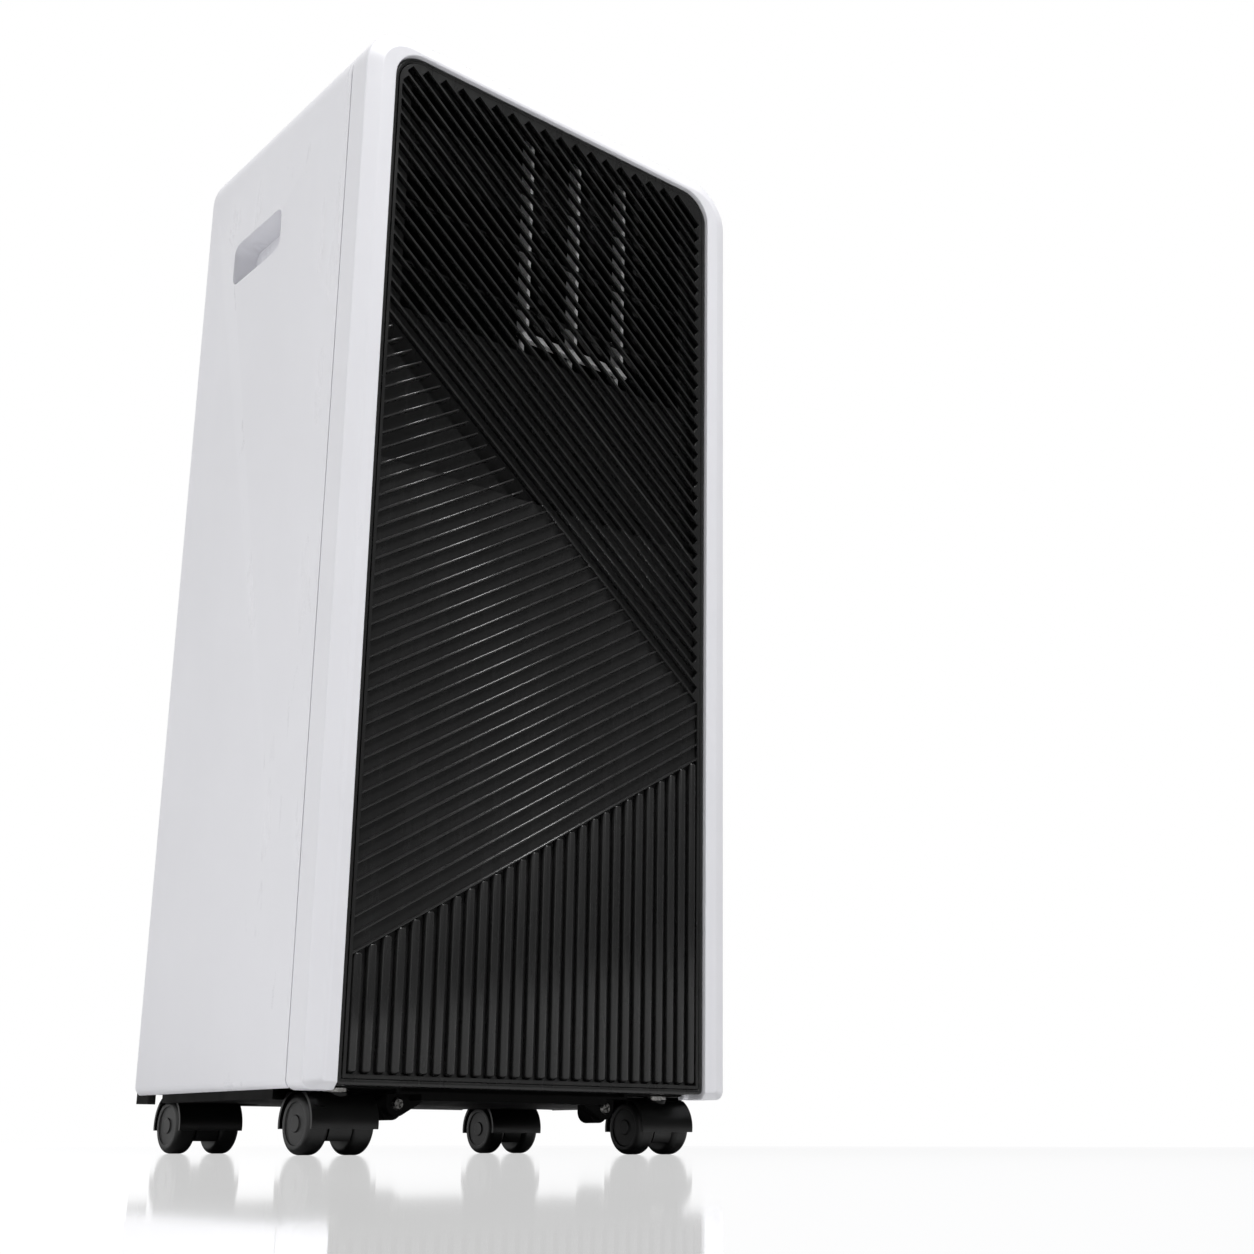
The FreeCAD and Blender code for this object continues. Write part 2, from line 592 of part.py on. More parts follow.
def case_screws():
    """Six screws through the back cover and two larger-headed ones in the tray's lugs."""
    length = SCREW_L - SCREW_HEAD_T - EPS / 2
    cover = [screw(V(x, REAR, z), AXIS_Y, SCREW_HEAD_R, SCREW_HEAD_T, length)
             for x, z in cover_screw_places()]
    face_y = lug_face_y() - LUG_SCREW_T
    lug_length = LUG_T - 2 * EPS
    lugs = [screw(V(side * LUG_X, face_y, lug_screw_z()), -AXIS_Y, LUG_SCREW_R, LUG_SCREW_T, lug_length)
            for side in (-1, 1)]
    return Part.makeCompound(cover + lugs)


def exhaust_collar():
    """Round socket that takes the exhaust hose; its rim lies behind the back cover."""
    outer = COLLAR_BORE_R + COLLAR_WALL
    tube = ring(outer, COLLAR_BORE_R, COLLAR_L, collar_axis(REAR - COLLAR_L), AXIS_Y)
    rim_y = REAR - COVER_T - CASING_WALL - FIT_GAP
    rim = ring(outer + COLLAR_RIM, COLLAR_BORE_R, CASING_WALL, collar_axis(rim_y), AXIS_Y)
    return tube.fuse(rim).removeSplitter()


def intake_filter_frame():
    """Pull-out frame with flat louvres over the evaporator's intake."""
    y0 = REAR - FIT_GAP - FILTER_T
    frame = filter_zone(0, y0, REAR - FIT_GAP)
    z0 = BOTTOM + DECK_Z + FILTER_RISE
    holes = []
    pitch_count = int((FILTER_H - 2 * FILTER_FRAME_W) // LOUVRE_PITCH)
    for k in range(pitch_count):
        z = z0 + FILTER_FRAME_W + k * LOUVRE_PITCH
        for side in (-1, 1):
            x0, x1 = sorted((side * SPINE_HALF_W, side * (FILTER_HALF_W - FILTER_FRAME_W)))
            holes.append(block(x0, x1, y0 - EPS, REAR, z, z + LOUVRE_PITCH - LOUVRE_T))
    return frame.cut(Part.makeCompound(holes))


def filter_mesh():
    y1 = REAR - FIT_GAP - FILTER_T
    inset = FILTER_FRAME_W / 2
    z0 = BOTTOM + DECK_Z + FILTER_RISE + inset
    half_w = FILTER_HALF_W - inset
    return block(-half_w, half_w, y1 - EPS, y1, z0, z0 + FILTER_H - 2 * inset)


def drain_pipe():
    start = V(DRAIN_X, REAR - PLUG_HEAD_T - DRAIN_L, BOTTOM + DRAIN_Z)
    return ring(DRAIN_R + DRAIN_WALL, DRAIN_R, DRAIN_L, start, AXIS_Y)


def drain_plug():
    mouth = REAR - PLUG_HEAD_T
    bung = rod(DRAIN_R - RUNNING_FIT, PLUG_L, V(DRAIN_X, mouth - PLUG_L, BOTTOM + DRAIN_Z), AXIS_Y)
    head_at = V(DRAIN_X, mouth + LINK_GAP, BOTTOM + DRAIN_Z)
    head = rod(PLUG_HEAD_R, PLUG_HEAD_T - 2 * LINK_GAP, head_at, AXIS_Y)
    neck = rod(DRAIN_R - RUNNING_FIT, LINK_GAP, V(DRAIN_X, mouth, BOTTOM + DRAIN_Z), AXIS_Y)
    return join([bung, neck, head])


def cord_gland():
    """Rubber bush for the mains lead, snapped into the back cover; nothing passes through it."""
    y0 = REAR - COVER_T
    at = V(GLAND_X, y0 - CASING_WALL, BOTTOM + GLAND_Z)
    flange = rod(GLAND_R, CASING_WALL, at, AXIS_Y)
    neck = rod(GLAND_R - COVER_T, COVER_T, at + AXIS_Y * CASING_WALL, AXIS_Y)
    bore_l = COVER_T + CASING_WALL + 2 * EPS
    return flange.fuse(neck).cut(rod(GLAND_BORE_R, bore_l, at - AXIS_Y * EPS, AXIS_Y))


# ---- controls -----------------------------------------------------------------
def control_top():
    return TOP - CONTROL_SINK


def button_places():
    y = FRONT + CONTROL_FRONT + BUTTON_BACK
    middle = (len(BUTTON_NAMES) - 1) / 2
    return {name: V((k - middle) * BUTTON_PITCH, y, 0) for k, name in enumerate(BUTTON_NAMES)}


def display_block(grow, z0, z1):
    y = FRONT + CONTROL_FRONT + DISPLAY_BACK
    half_w, half_d = DISPLAY_W / 2 + grow, DISPLAY_D / 2 + grow
    return rounded_block(-half_w, half_w, y - half_d, y + half_d, z0, z1, half_d / 2, AXIS_Z)


def lip_bottom():
    return TOP - CASING_WALL - FIT_GAP - CONTROL_LIP_T


def board_top():
    return lip_bottom() - BOARD_DROP


def control_panel():
    """Inlaid plate on the top: bezel for the display, guides for the buttons, board posts."""
    plate = control_opening(FIT_GAP, lip_bottom(), control_top())
    lip = control_opening(-CONTROL_LIP, lip_bottom(), lip_bottom() + CONTROL_LIP_T)
    panel = plate.fuse(lip)
    for place in button_places().values():
        hole = V(place.x, place.y, lip_bottom() - EPS)
        panel = panel.cut(rod(BUTTON_R + BUTTON_GAP, TOP - hole.z, hole))
    panel = panel.cut(display_block(BUTTON_GAP / 2, control_top() - DISPLAY_T, TOP))
    y0, y1 = FRONT + CONTROL_FRONT + CONTROL_R, FRONT + CONTROL_FRONT + CONTROL_D - CONTROL_R
    post_x = CONTROL_HALF_W - CONTROL_R
    posts = [rod(BOARD_POST_R, BOARD_DROP, V(x, y, board_top())) for x in (-post_x, post_x) for y in (y0, y1)]
    return panel.multiFuse(posts).removeSplitter()


def display_window():
    return display_block(0, control_top() - DISPLAY_T, control_top())


def button(place):
    """Round key with a retaining flange under the panel, free to travel down."""
    key_z = lip_bottom() - CONTROL_LIP_T - BUTTON_GAP
    key = rod(BUTTON_R, TOP - BUTTON_GAP - key_z, V(place.x, place.y, key_z))
    key = key.makeFillet(BUTTON_EDGE_R, [e for e in key.Edges if e.BoundBox.ZMin > key_z + EPS])
    flange = rod(BUTTON_R + CONTROL_LIP_T, CONTROL_LIP_T, V(place.x, place.y, key_z))
    return key.fuse(flange).removeSplitter()


def control_board():
    half_w = CONTROL_HALF_W - CONTROL_R / 2
    y0, y1 = FRONT + CONTROL_FRONT + CONTROL_R / 2, FRONT + CONTROL_FRONT + CONTROL_D - CONTROL_R / 2
    z = board_top()
    board = block(-half_w, half_w, y0, y1, z - BOARD_T, z)
    switches = [rod(BUTTON_R / 2, SWITCH_H, V(p.x, p.y, z)) for p in button_places().values()]
    y = FRONT + CONTROL_FRONT + DISPLAY_BACK
    screen = block(-DISPLAY_W / 2, DISPLAY_W / 2, y - DISPLAY_D / 2, y + DISPLAY_D / 2, z, z + 2 * SWITCH_H)
    return board.multiFuse(switches + [screen])


# ---- outlet duct and vanes ----------------------------------------------------
DUCT_FRONT = PANEL_BACK + LEDGE_T + SEAM_GAP
DUCT_FLOOR = WINDOW_BOTTOM - DUCT_SILL
DUCT_ROOF = WINDOW_TOP + DUCT_HEAD
SCROLL_FRONT = BULKHEAD_Y + BULKHEAD_T
SCROLL_BACK = SCROLL_FRONT + SCROLL_D
DUCT_REAR_ROOF = DUCT_ROOF - DUCT_HEAD_DROP
DUCT_REAR_FLOOR = DUCT_REAR_ROOF - DUCT_REAR_H
VANE_FRONT = PANEL_BACK + VANE_FRONT_GAP
VANE_PIVOT_Y = VANE_FRONT + VANE_PIVOT_BACK
VANE_PIN_Y = VANE_FRONT + TIE_BAR_W / 2 - EPS
VANE_Z0 = DUCT_FLOOR + VANE_LIFT
VANE_Z1 = DUCT_ROOF - DUCT_WALL - VANE_HEAD_GAP


def vane_x(index):
    return VANE_FIRST_X + index * VANE_PITCH


def duct_profile(inset):
    """Side view of the duct, from the window back over the fan; the front stays open."""
    front = DUCT_FRONT - (EPS if inset else 0)
    knee = DUCT_FRONT + DUCT_THROAT_LEN
    back = SCROLL_BACK + DUCT_WALL - inset
    return [
        (front, DUCT_FLOOR + inset - DUCT_WALL), (knee, DUCT_FLOOR + inset - DUCT_WALL),
        (BULKHEAD_Y - EPS - inset, DUCT_REAR_FLOOR + inset), (back, DUCT_REAR_FLOOR + inset),
        (back, DUCT_REAR_ROOF - inset), (knee + DUCT_THROAT_LEN / 2, DUCT_REAR_ROOF - inset),
        (knee, DUCT_ROOF - inset), (front, DUCT_ROOF - inset),
    ]


def scroll_throat_x():
    tongue = SCROLL_X + SCROLL_R_TONGUE * math.cos(math.radians(SCROLL_TONGUE_ANGLE))
    return tongue, SCROLL_X + SCROLL_R_OUT


def outlet_duct():
    body = slab_x(duct_profile(0), -DUCT_HALF_W, DUCT_HALF_W)
    body = body.cut(slab_x(duct_profile(DUCT_WALL), DUCT_WALL - DUCT_HALF_W, DUCT_HALF_W - DUCT_WALL))
    throat_x0, throat_x1 = scroll_throat_x()
    throat_y0, throat_y1 = SCROLL_FRONT + SCROLL_WALL, SCROLL_BACK - SCROLL_WALL
    body = body.cut(block(throat_x0 + SCROLL_WALL, throat_x1 - SCROLL_WALL, throat_y0, throat_y1,
                          DUCT_REAR_FLOOR - EPS, DUCT_REAR_FLOOR + DUCT_WALL + EPS))
    hole_r = VANE_STUB_R + RUNNING_FIT
    for k in range(VANE_COUNT):
        body = body.cut(rod(hole_r, DUCT_ROOF - DUCT_FLOOR + 4 * DUCT_WALL,
                            V(vane_x(k), VANE_PIVOT_Y, DUCT_FLOOR - 2 * DUCT_WALL)))
    return body


def vane(index):
    """Upright blade with a foot: stubs on the pivot axis and a pin for the tie bar."""
    x = vane_x(index)
    blade = rounded_block(x - VANE_T / 2, x + VANE_T / 2, VANE_FRONT, VANE_FRONT + VANE_CHORD,
                          VANE_Z0, VANE_Z1, VANE_EDGE_R, AXIS_Z)
    foot_r = VANE_STUB_R + EPS
    foot_z = VANE_Z0 - VANE_FOOT_T
    foot = block(x - foot_r, x + foot_r, VANE_PIN_Y, VANE_PIVOT_Y, foot_z, VANE_Z0)
    ends = [rod(foot_r, VANE_FOOT_T, V(x, y, foot_z)) for y in (VANE_PIN_Y, VANE_PIVOT_Y)]
    below = DUCT_WALL + (SWING_MOTOR_H / 2 if index == VANE_COUNT // 2 else 0)
    lower_stub = rod(VANE_STUB_R, foot_z - DUCT_FLOOR + below, V(x, VANE_PIVOT_Y, DUCT_FLOOR - below))
    upper_stub = rod(VANE_STUB_R, VANE_HEAD_GAP + DUCT_WALL, V(x, VANE_PIVOT_Y, VANE_Z1))
    pin = rod(TIE_PIN_R, TIE_BAR_T + LINK_GAP, V(x, VANE_PIN_Y, foot_z - TIE_BAR_T - LINK_GAP))
    return join([blade, foot, lower_stub, upper_stub, pin] + ends)


def vane_tie_bar():
    """Straight bar that keeps the vanes parallel, with one round boss at the driven vane."""
    z1 = VANE_Z0 - VANE_FOOT_T - LINK_GAP
    x0, x1 = vane_x(0), vane_x(VANE_COUNT - 1)
    y0, y1 = VANE_PIN_Y - TIE_BAR_W / 2, VANE_PIN_Y + TIE_BAR_W / 2
    bar = rounded_block(x0 - TIE_BAR_W, x1 + TIE_BAR_W, y0, y1, z1 - TIE_BAR_T, z1, TIE_BAR_R, AXIS_Z)
    middle = vane_x(VANE_COUNT // 2)
    boss_y = y0 - LINK_GAP
    boss = rod(TIE_BOSS_R, TIE_BOSS_L, V(middle, boss_y, z1 - TIE_BOSS_R), AXIS_Y)
    bar = bar.fuse(boss)
    for k in range(VANE_COUNT):
        hole_at = V(vane_x(k), VANE_PIN_Y, z1 - 2 * TIE_BAR_T)
        bar = bar.cut(rod(TIE_PIN_R + RUNNING_FIT, 4 * TIE_BAR_T, hole_at))
    return bar


def swing_motor():
    at = V(vane_x(VANE_COUNT // 2), VANE_PIVOT_Y, DUCT_FLOOR - DUCT_WALL - SWING_MOTOR_H)
    can = rod(SWING_MOTOR_R, SWING_MOTOR_H, at + AXIS_Y * SWING_MOTOR_OFFSET)
    bore = rod(VANE_STUB_R + RUNNING_FIT, SWING_MOTOR_H / 2 + EPS, at + AXIS_Z * (SWING_MOTOR_H / 2))
    return can.cut(bore)


# ---- fans ---------------------------------------------------------------------
UPPER_FAN_Z = DUCT_REAR_FLOOR - SCROLL_R_OUT
LOWER_FAN_TOP = COLLAR_Z - COLLAR_BORE_R - COLLAR_WALL
LOWER_FAN_Z = BOTTOM + LOWER_FAN_TOP - SCROLL_R_OUT


def scroll_face(centre_z, top_z, inset, y):
    """Spiral fan casing in an XZ plane, which opens upwards on its right."""
    start = math.radians(SCROLL_TONGUE_ANGLE)
    turns = 2 * math.pi - start
    points = []
    for k in range(SCROLL_POINTS + 1):
        share = k / SCROLL_POINTS
        angle = start + turns * share
        radius = SCROLL_R_TONGUE + (SCROLL_R_OUT - SCROLL_R_TONGUE) * share - inset
        points.append(V(SCROLL_X + radius * math.cos(angle), y, centre_z + radius * math.sin(angle)))
    spiral = Part.BSplineCurve()
    spiral.interpolate(points)
    throat_x = scroll_throat_x()[0] + inset
    corners = [points[-1], V(points[-1].x, y, top_z), V(throat_x, y, top_z), points[0]]
    sides = [Part.makeLine(a, b) for a, b in zip(corners, corners[1:])]
    return Part.Face(Part.Wire([spiral.toShape()] + sides))


def blower_housing(centre_z, top_z):
    outside = scroll_face(centre_z, top_z, 0, SCROLL_FRONT).extrude(V(0, SCROLL_D, 0))
    depth, through = SCROLL_D - 2 * SCROLL_WALL, SCROLL_WALL + 2 * EPS
    inner_face = scroll_face(centre_z, top_z + EPS, SCROLL_WALL, SCROLL_FRONT + SCROLL_WALL)
    inside = inner_face.extrude(V(0, depth, 0))
    intake = rod(INTAKE_R, through, V(SCROLL_X, SCROLL_BACK - SCROLL_WALL - EPS, centre_z), AXIS_Y)
    shaft = rod(WHEEL_HUB_R, through, V(SCROLL_X, SCROLL_FRONT - EPS, centre_z), AXIS_Y)
    return outside.cut(inside).cut(intake).cut(shaft)


def blower_wheel(centre_z):
    """Squirrel-cage wheel: back plate, hub, forward-leaning blades and a front ring."""
    y0 = SCROLL_FRONT + (SCROLL_D - WHEEL_W) / 2
    at = V(SCROLL_X, y0, centre_z)
    plate = rod(WHEEL_R, WHEEL_PLATE_T, at, AXIS_Y)
    hub = rod(WHEEL_HUB_R - FIT_GAP * 2, WHEEL_W / 2, at, AXIS_Y)
    rim_w = WHEEL_PLATE_T * 2
    rim = ring(WHEEL_R, WHEEL_R - rim_w, rim_w, at + AXIS_Y * (WHEEL_W - rim_w), AXIS_Y)
    blades = []
    for k in range(WHEEL_BLADES):
        tip = WHEEL_R - FIT_GAP
        blade = block(SCROLL_X + tip - WHEEL_BLADE_CHORD, SCROLL_X + tip, y0 + EPS, y0 + WHEEL_W - EPS,
                      centre_z - WHEEL_BLADE_T / 2, centre_z + WHEEL_BLADE_T / 2)
        blade.rotate(at, AXIS_Y, 360.0 * k / WHEEL_BLADES)
        blades.append(blade)
    wheel = join([plate, hub, rim] + blades)
    return wheel.cut(rod(SHAFT_R + RUNNING_FIT, WHEEL_W, at - AXIS_Y * EPS, AXIS_Y))


def fan_motor(centre_z):
    can = rod(MOTOR_R, MOTOR_L, V(SCROLL_X, BULKHEAD_Y - MOTOR_L, centre_z), AXIS_Y)
    can = can.makeFillet(WHEEL_HUB_R / 2, [e for e in can.Edges if e.BoundBox.YMax < BULKHEAD_Y - EPS])
    shaft_end = SCROLL_FRONT + (SCROLL_D - WHEEL_W) / 2 + WHEEL_W / 2 - EPS
    shaft = rod(SHAFT_R, shaft_end - BULKHEAD_Y + EPS, V(SCROLL_X, BULKHEAD_Y - EPS, centre_z), AXIS_Y)
    return can.fuse(shaft)


def tray_floor_top():
    return BOTTOM - TRAY_DROP + TRAY_FLOOR_T


def fan_bulkhead():
    """Sheet-metal wall across the body that carries both motors and both fan casings."""
    half_w = PIPE_LANE_X - 2 * PIPE_R
    z1 = DUCT_REAR_FLOOR - FIT_GAP
    sheet = block(-half_w, half_w, BULKHEAD_Y, SCROLL_FRONT, tray_floor_top(), z1)
    for z in (UPPER_FAN_Z, LOWER_FAN_Z):
        sheet = sheet.cut(rod(WHEEL_HUB_R, 4 * BULKHEAD_T, V(SCROLL_X, BULKHEAD_Y - BULKHEAD_T, z), AXIS_Y))
    return sheet


def exhaust_duct():
    """Box elbow from the lower fan's mouth to the exhaust collar."""
    z0 = BOTTOM + LOWER_FAN_TOP
    z1 = BOTTOM + DECK_Z - FIT_GAP
    y1 = REAR - COLLAR_L
    half_w = SCROLL_X + SCROLL_R_OUT
    body = block(-COLLAR_BORE_R - SCROLL_WALL, half_w, SCROLL_FRONT, y1, z0, z1)
    body = body.cut(block(-COLLAR_BORE_R, half_w - SCROLL_WALL, SCROLL_FRONT + SCROLL_WALL, y1 - SCROLL_WALL,
                          z0 + SCROLL_WALL, z1 - SCROLL_WALL))
    throat_x0, throat_x1 = scroll_throat_x()
    body = body.cut(block(throat_x0 + SCROLL_WALL, throat_x1 - SCROLL_WALL, SCROLL_FRONT + SCROLL_WALL,
                          SCROLL_BACK - SCROLL_WALL, z0 - EPS, z0 + SCROLL_WALL + EPS))
    mouth_r = COLLAR_BORE_R - SOCKET_STOP
    return body.cut(rod(mouth_r, 2 * SCROLL_WALL + EPS, collar_axis(y1 - 2 * SCROLL_WALL), AXIS_Y))


# ---- cooling circuit ----------------------------------------------------------
def coil(z0, height):
    """Finned block with a row of tubes that stand out at both ends."""
    fins = block(-COIL_HALF_W, COIL_HALF_W, COIL_Y, COIL_Y + COIL_T, z0, z0 + height)
    pitch = height / COIL_ROWS
    tubes = []
    for k in range(COIL_ROWS):
        at = V(-COIL_HALF_W - COIL_END, COIL_Y + COIL_T / 2, z0 + (k + 0.5) * pitch)
        tubes.append(rod(COIL_TUBE_R, 2 * (COIL_HALF_W + COIL_END), at, AXIS_X))
    return fins.multiFuse(tubes)


def middle_deck():
    """Drip tray under the evaporator, which also parts the two compartments."""
    half_w = BODY_W / 2 - CASING_WALL - FIT_GAP
    y0, y1 = SCROLL_FRONT + FIT_GAP, REAR - COVER_T - CASING_WALL - FILTER_T
    z0 = BOTTOM + DECK_Z
    deck = block(-half_w, half_w, y0, y1, z0, z0 + DECK_T)
    lane = PIPE_LANE_X - 2 * PIPE_R
    wall_y0 = COIL_Y - DECK_T - EPS
    lip = block(-lane, half_w, wall_y0, y1, z0, z0 + DECK_LIP)
    lip = lip.cut(block(DECK_T - lane, half_w - DECK_T, wall_y0 + DECK_T, y1 - DECK_T, z0, z0 + 2 * DECK_LIP))
    notch = block(-half_w - EPS, -lane, y0 - EPS, wall_y0, z0 - EPS, z0 + 2 * DECK_LIP)
    return deck.fuse(lip).cut(notch)


def compressor_foot_z():
    return tray_floor_top() + GROMMET_H


def compressor_feet():
    return [V(COMPRESSOR_X + GROMMET_PCD / 2 * math.cos(a), COMPRESSOR_Y + GROMMET_PCD / 2 * math.sin(a), 0)
            for a in (math.radians(GROMMET_TURN + 120 * k) for k in range(3))]


def compressor():
    """Upright can with domed ends, on three short feet that rest on the grommets."""
    z0 = compressor_foot_z()
    can = rod(COMPRESSOR_R, COMPRESSOR_H, V(COMPRESSOR_X, COMPRESSOR_Y, z0))
    can = can.makeFillet(COMPRESSOR_DOME_R, [e for e in can.Edges if e.BoundBox.ZLength < 1e-6])
    feet = [rod(GROMMET_R, COMPRESSOR_DOME_R, V(p.x, p.y, z0)) for p in compressor_feet()]
    return join([can] + feet)


def compressor_grommets():
    z0 = tray_floor_top()
    return Part.makeCompound([rod(GROMMET_R, GROMMET_H, V(p.x, p.y, z0)) for p in compressor_feet()])


def accumulator_place():
    return V(COMPRESSOR_X + COMPRESSOR_R + ACCUMULATOR_R + FIT_GAP, COMPRESSOR_Y - ACCUMULATOR_R, 0)


def accumulator():
    at = accumulator_place()
    z0 = compressor_foot_z() + COMPRESSOR_DOME_R
    can = rod(ACCUMULATOR_R, ACCUMULATOR_H, V(at.x, at.y, z0))
    return can.makeFillet(ACCUMULATOR_R / 2, [e for e in can.Edges if e.BoundBox.ZLength < 1e-6])


def pipe(points, radius, bend):
    """Round bar along straight runs joined by tangent arcs."""
    edges = []
    start = points[0]
    for before, at, after in zip(points, points[1:], points[2:]):
        u = (before - at).normalize()
        w = (after - at).normalize()
        half = u.getAngle(w) / 2
        setback = bend / math.tan(half)
        a, b = at + u * setback, at + w * setback
        centre = at + (u + w).normalize() * (bend / math.sin(half))
        middle = centre + (at - centre).normalize() * bend
        edges.append(Part.makeLine(start, a))
        edges.append(Part.Arc(a, middle, b).toShape())
        start = b
    edges.append(Part.makeLine(start, points[-1]))
    path = Part.Wire(edges)
    section = Part.Wire(Part.makeCircle(radius, points[0], points[1] - points[0]))
    return path.makePipeShell([section], True, True)


def discharge_pipe():
    """From the compressor's head, along the left wall, to the condenser's end."""
    top = compressor_foot_z() + COMPRESSOR_H
    run_z = top + DISCHARGE_RISE
    x = COMPRESSOR_X - DISCHARGE_OFFSET
    mid = COIL_Y + COIL_T / 2
    coil_z = condenser_z() + condenser_h() * (COIL_ROWS - 0.5) / COIL_ROWS
    end_x = -COIL_HALF_W - COIL_END
    points = [V(x, COMPRESSOR_Y, top), V(x, COMPRESSOR_Y, run_z), V(-PIPE_LANE_X, COMPRESSOR_Y, run_z),
              V(-PIPE_LANE_X, mid, run_z), V(-PIPE_LANE_X, mid, coil_z - PIPE_R)]
    riser = pipe(points, PIPE_R, PIPE_BEND_R)
    stub = rod(COIL_TUBE_R - FIT_GAP, PIPE_LANE_X + end_x, V(-PIPE_LANE_X, mid, coil_z), AXIS_X)
    return join([riser, stub])


def suction_pipe():
    """From the evaporator's lowest tube, down the left wall, to the accumulator's head."""
    at = accumulator_place()
    top = compressor_foot_z() + COMPRESSOR_DOME_R + ACCUMULATOR_H
    run_z = compressor_foot_z() + COMPRESSOR_H + SUCTION_RISE
    lane_y = COIL_Y - COIL_T
    coil_z = evaporator_z() + EVAPORATOR_H / COIL_ROWS / 2
    mid = COIL_Y + COIL_T / 2
    points = [V(at.x, at.y, top), V(at.x, at.y, run_z), V(-PIPE_LANE_X, at.y, run_z),
              V(-PIPE_LANE_X, lane_y, run_z), V(-PIPE_LANE_X, lane_y, coil_z), V(-PIPE_LANE_X, mid, coil_z)]
    riser = pipe(points, PIPE_R, PIPE_BEND_R)
    stub_l = PIPE_LANE_X - COIL_HALF_W - COIL_END
    stub = rod(COIL_TUBE_R - FIT_GAP, stub_l, V(-PIPE_LANE_X, mid, coil_z), AXIS_X)
    return join([riser, stub])


def evaporator_z():
    return BOTTOM + DECK_Z + DECK_T


def condenser_z():
    return well_roof() + SOCKET_H


def condenser_h():
    return BOTTOM + LOWER_FAN_TOP - CONDENSER_HEAD - condenser_z()


# ---- base and casters ---------------------------------------------------------
CASTERS = {"fl": (-1, CASTER_FRONT_Y), "fr": (1, CASTER_FRONT_Y),
           "rl": (-1, CASTER_REAR_Y), "rr": (1, CASTER_REAR_Y)}


def stem_place(tag):
    side, axle_y = CASTERS[tag]
    return V(side * CASTER_X, axle_y - CASTER_TRAIL, 0)


def well_roof():
    return WHEEL_D + WELL_CLEAR


def base_tray():
    """Moulded floor with four caster wells, stem sockets and two screw lugs at the front."""
    half_w = BODY_W / 2 - CASING_WALL - FIT_GAP
    y0, y1 = PANEL_BACK + LEDGE_T + FIT_GAP, REAR - SCREW_L - FIT_GAP
    z0 = BOTTOM - TRAY_DROP
    body = block(-half_w, half_w, FRAME_BACK + SEAM_GAP, y1, z0, z0 + TRAY_H)
    body = body.cut(block(TRAY_WALL - half_w, half_w - TRAY_WALL, FRAME_BACK + SEAM_GAP + TRAY_WALL,
                          y1 - TRAY_WALL, tray_floor_top(), z0 + 2 * TRAY_H))
    tongue_half_w = BODY_W / 2 - BEZEL_SIDE - LEDGE_W - 2 * FIT_GAP
    tongue = block(-tongue_half_w, tongue_half_w, y0, FRAME_BACK + TRAY_WALL, z0, z0 + TRAY_FLOOR_T)
    limit = block(-half_w, half_w, y0, y1, z0, TOP)
    nose = block(-tongue_half_w, tongue_half_w, y0, y1, z0, TOP)
    rear_part = block(-half_w, half_w, FRAME_BACK + SEAM_GAP, y1, z0, TOP)
    limit = limit.common(nose.fuse(rear_part))
    roofs, wells = [], []
    for tag in CASTERS:
        at = stem_place(tag)
        roofs.append(rod(WELL_R + TRAY_WALL, well_roof() + WELL_ROOF_T - z0, V(at.x, at.y, z0)))
        roofs.append(rod(SOCKET_R, SOCKET_H, V(at.x, at.y, well_roof())))
        wells.append(rod(WELL_R, well_roof(), V(at.x, at.y, 0)))
        wells.append(rod(STEM_R, SOCKET_H, V(at.x, at.y, well_roof() - EPS)))
    body = body.multiFuse([tongue] + [roof.common(limit) for roof in roofs])
    body = body.cut(Part.makeCompound(wells[0::2])).cut(Part.makeCompound(wells[1::2]))
    drain_at = V(DRAIN_X, y1 - DRAIN_L, BOTTOM + DRAIN_Z)
    body = body.cut(rod(DRAIN_R + DRAIN_WALL, 2 * DRAIN_L, drain_at, AXIS_Y))
    for side in (-1, 1):
        notch_x0 = side * LUG_X - LUG_HALF_W - EPS
        notch_x1 = side * LUG_X + LUG_HALF_W + EPS
        body = body.cut(block(notch_x0, notch_x1, FRONT, lug_face_y(), z0 - EPS, z0 + LUG_NOTCH_H))
    return join([body] + [lug(side) for side in (-1, 1)])


def lug_face_y():
    return FRONT + LUG_BACK


def lug_screw_z():
    return BOTTOM - LUG_SCREW_DROP


def lug(side):
    """Ear under the tray that flares towards the middle: blind screw hole in front, round boss behind."""
    x, y, z = side * LUG_X, lug_face_y(), lug_screw_z()
    rise = BOTTOM - z
    reach = math.hypot(LUG_FLARE, rise)
    slope = math.atan2(rise, LUG_FLARE) - math.acos(LUG_HALF_W / reach)
    touch_x, touch_z = LUG_HALF_W * math.cos(slope), LUG_HALF_W * math.sin(slope)
    outline = [(x + side * LUG_HALF_W, z), (x + side * LUG_HALF_W, BOTTOM), (x - side * LUG_FLARE, BOTTOM),
               (x - side * touch_x, z + touch_z)]
    round_end = rod(LUG_HALF_W, LUG_T, V(x, y, z), AXIS_Y)
    boss = rod(LUG_HALF_W, LUG_BOSS_L, V(x, y + LUG_T, z - LUG_BOSS_DROP), AXIS_Y)
    boss_neck = block(x - LUG_HALF_W, x + LUG_HALF_W, y + LUG_T, y + LUG_T + LUG_BOSS_L, z - LUG_BOSS_DROP,
                      BOTTOM - TRAY_DROP + EPS)
    body = slab_y(outline, y, y + LUG_T).multiFuse([round_end, boss, boss_neck])
    return body.cut(rod(SCREW_R, LUG_T - EPS, V(x, y - EPS / 2, z), AXIS_Y))


def hood_top():
    return BOTTOM - LINK_GAP


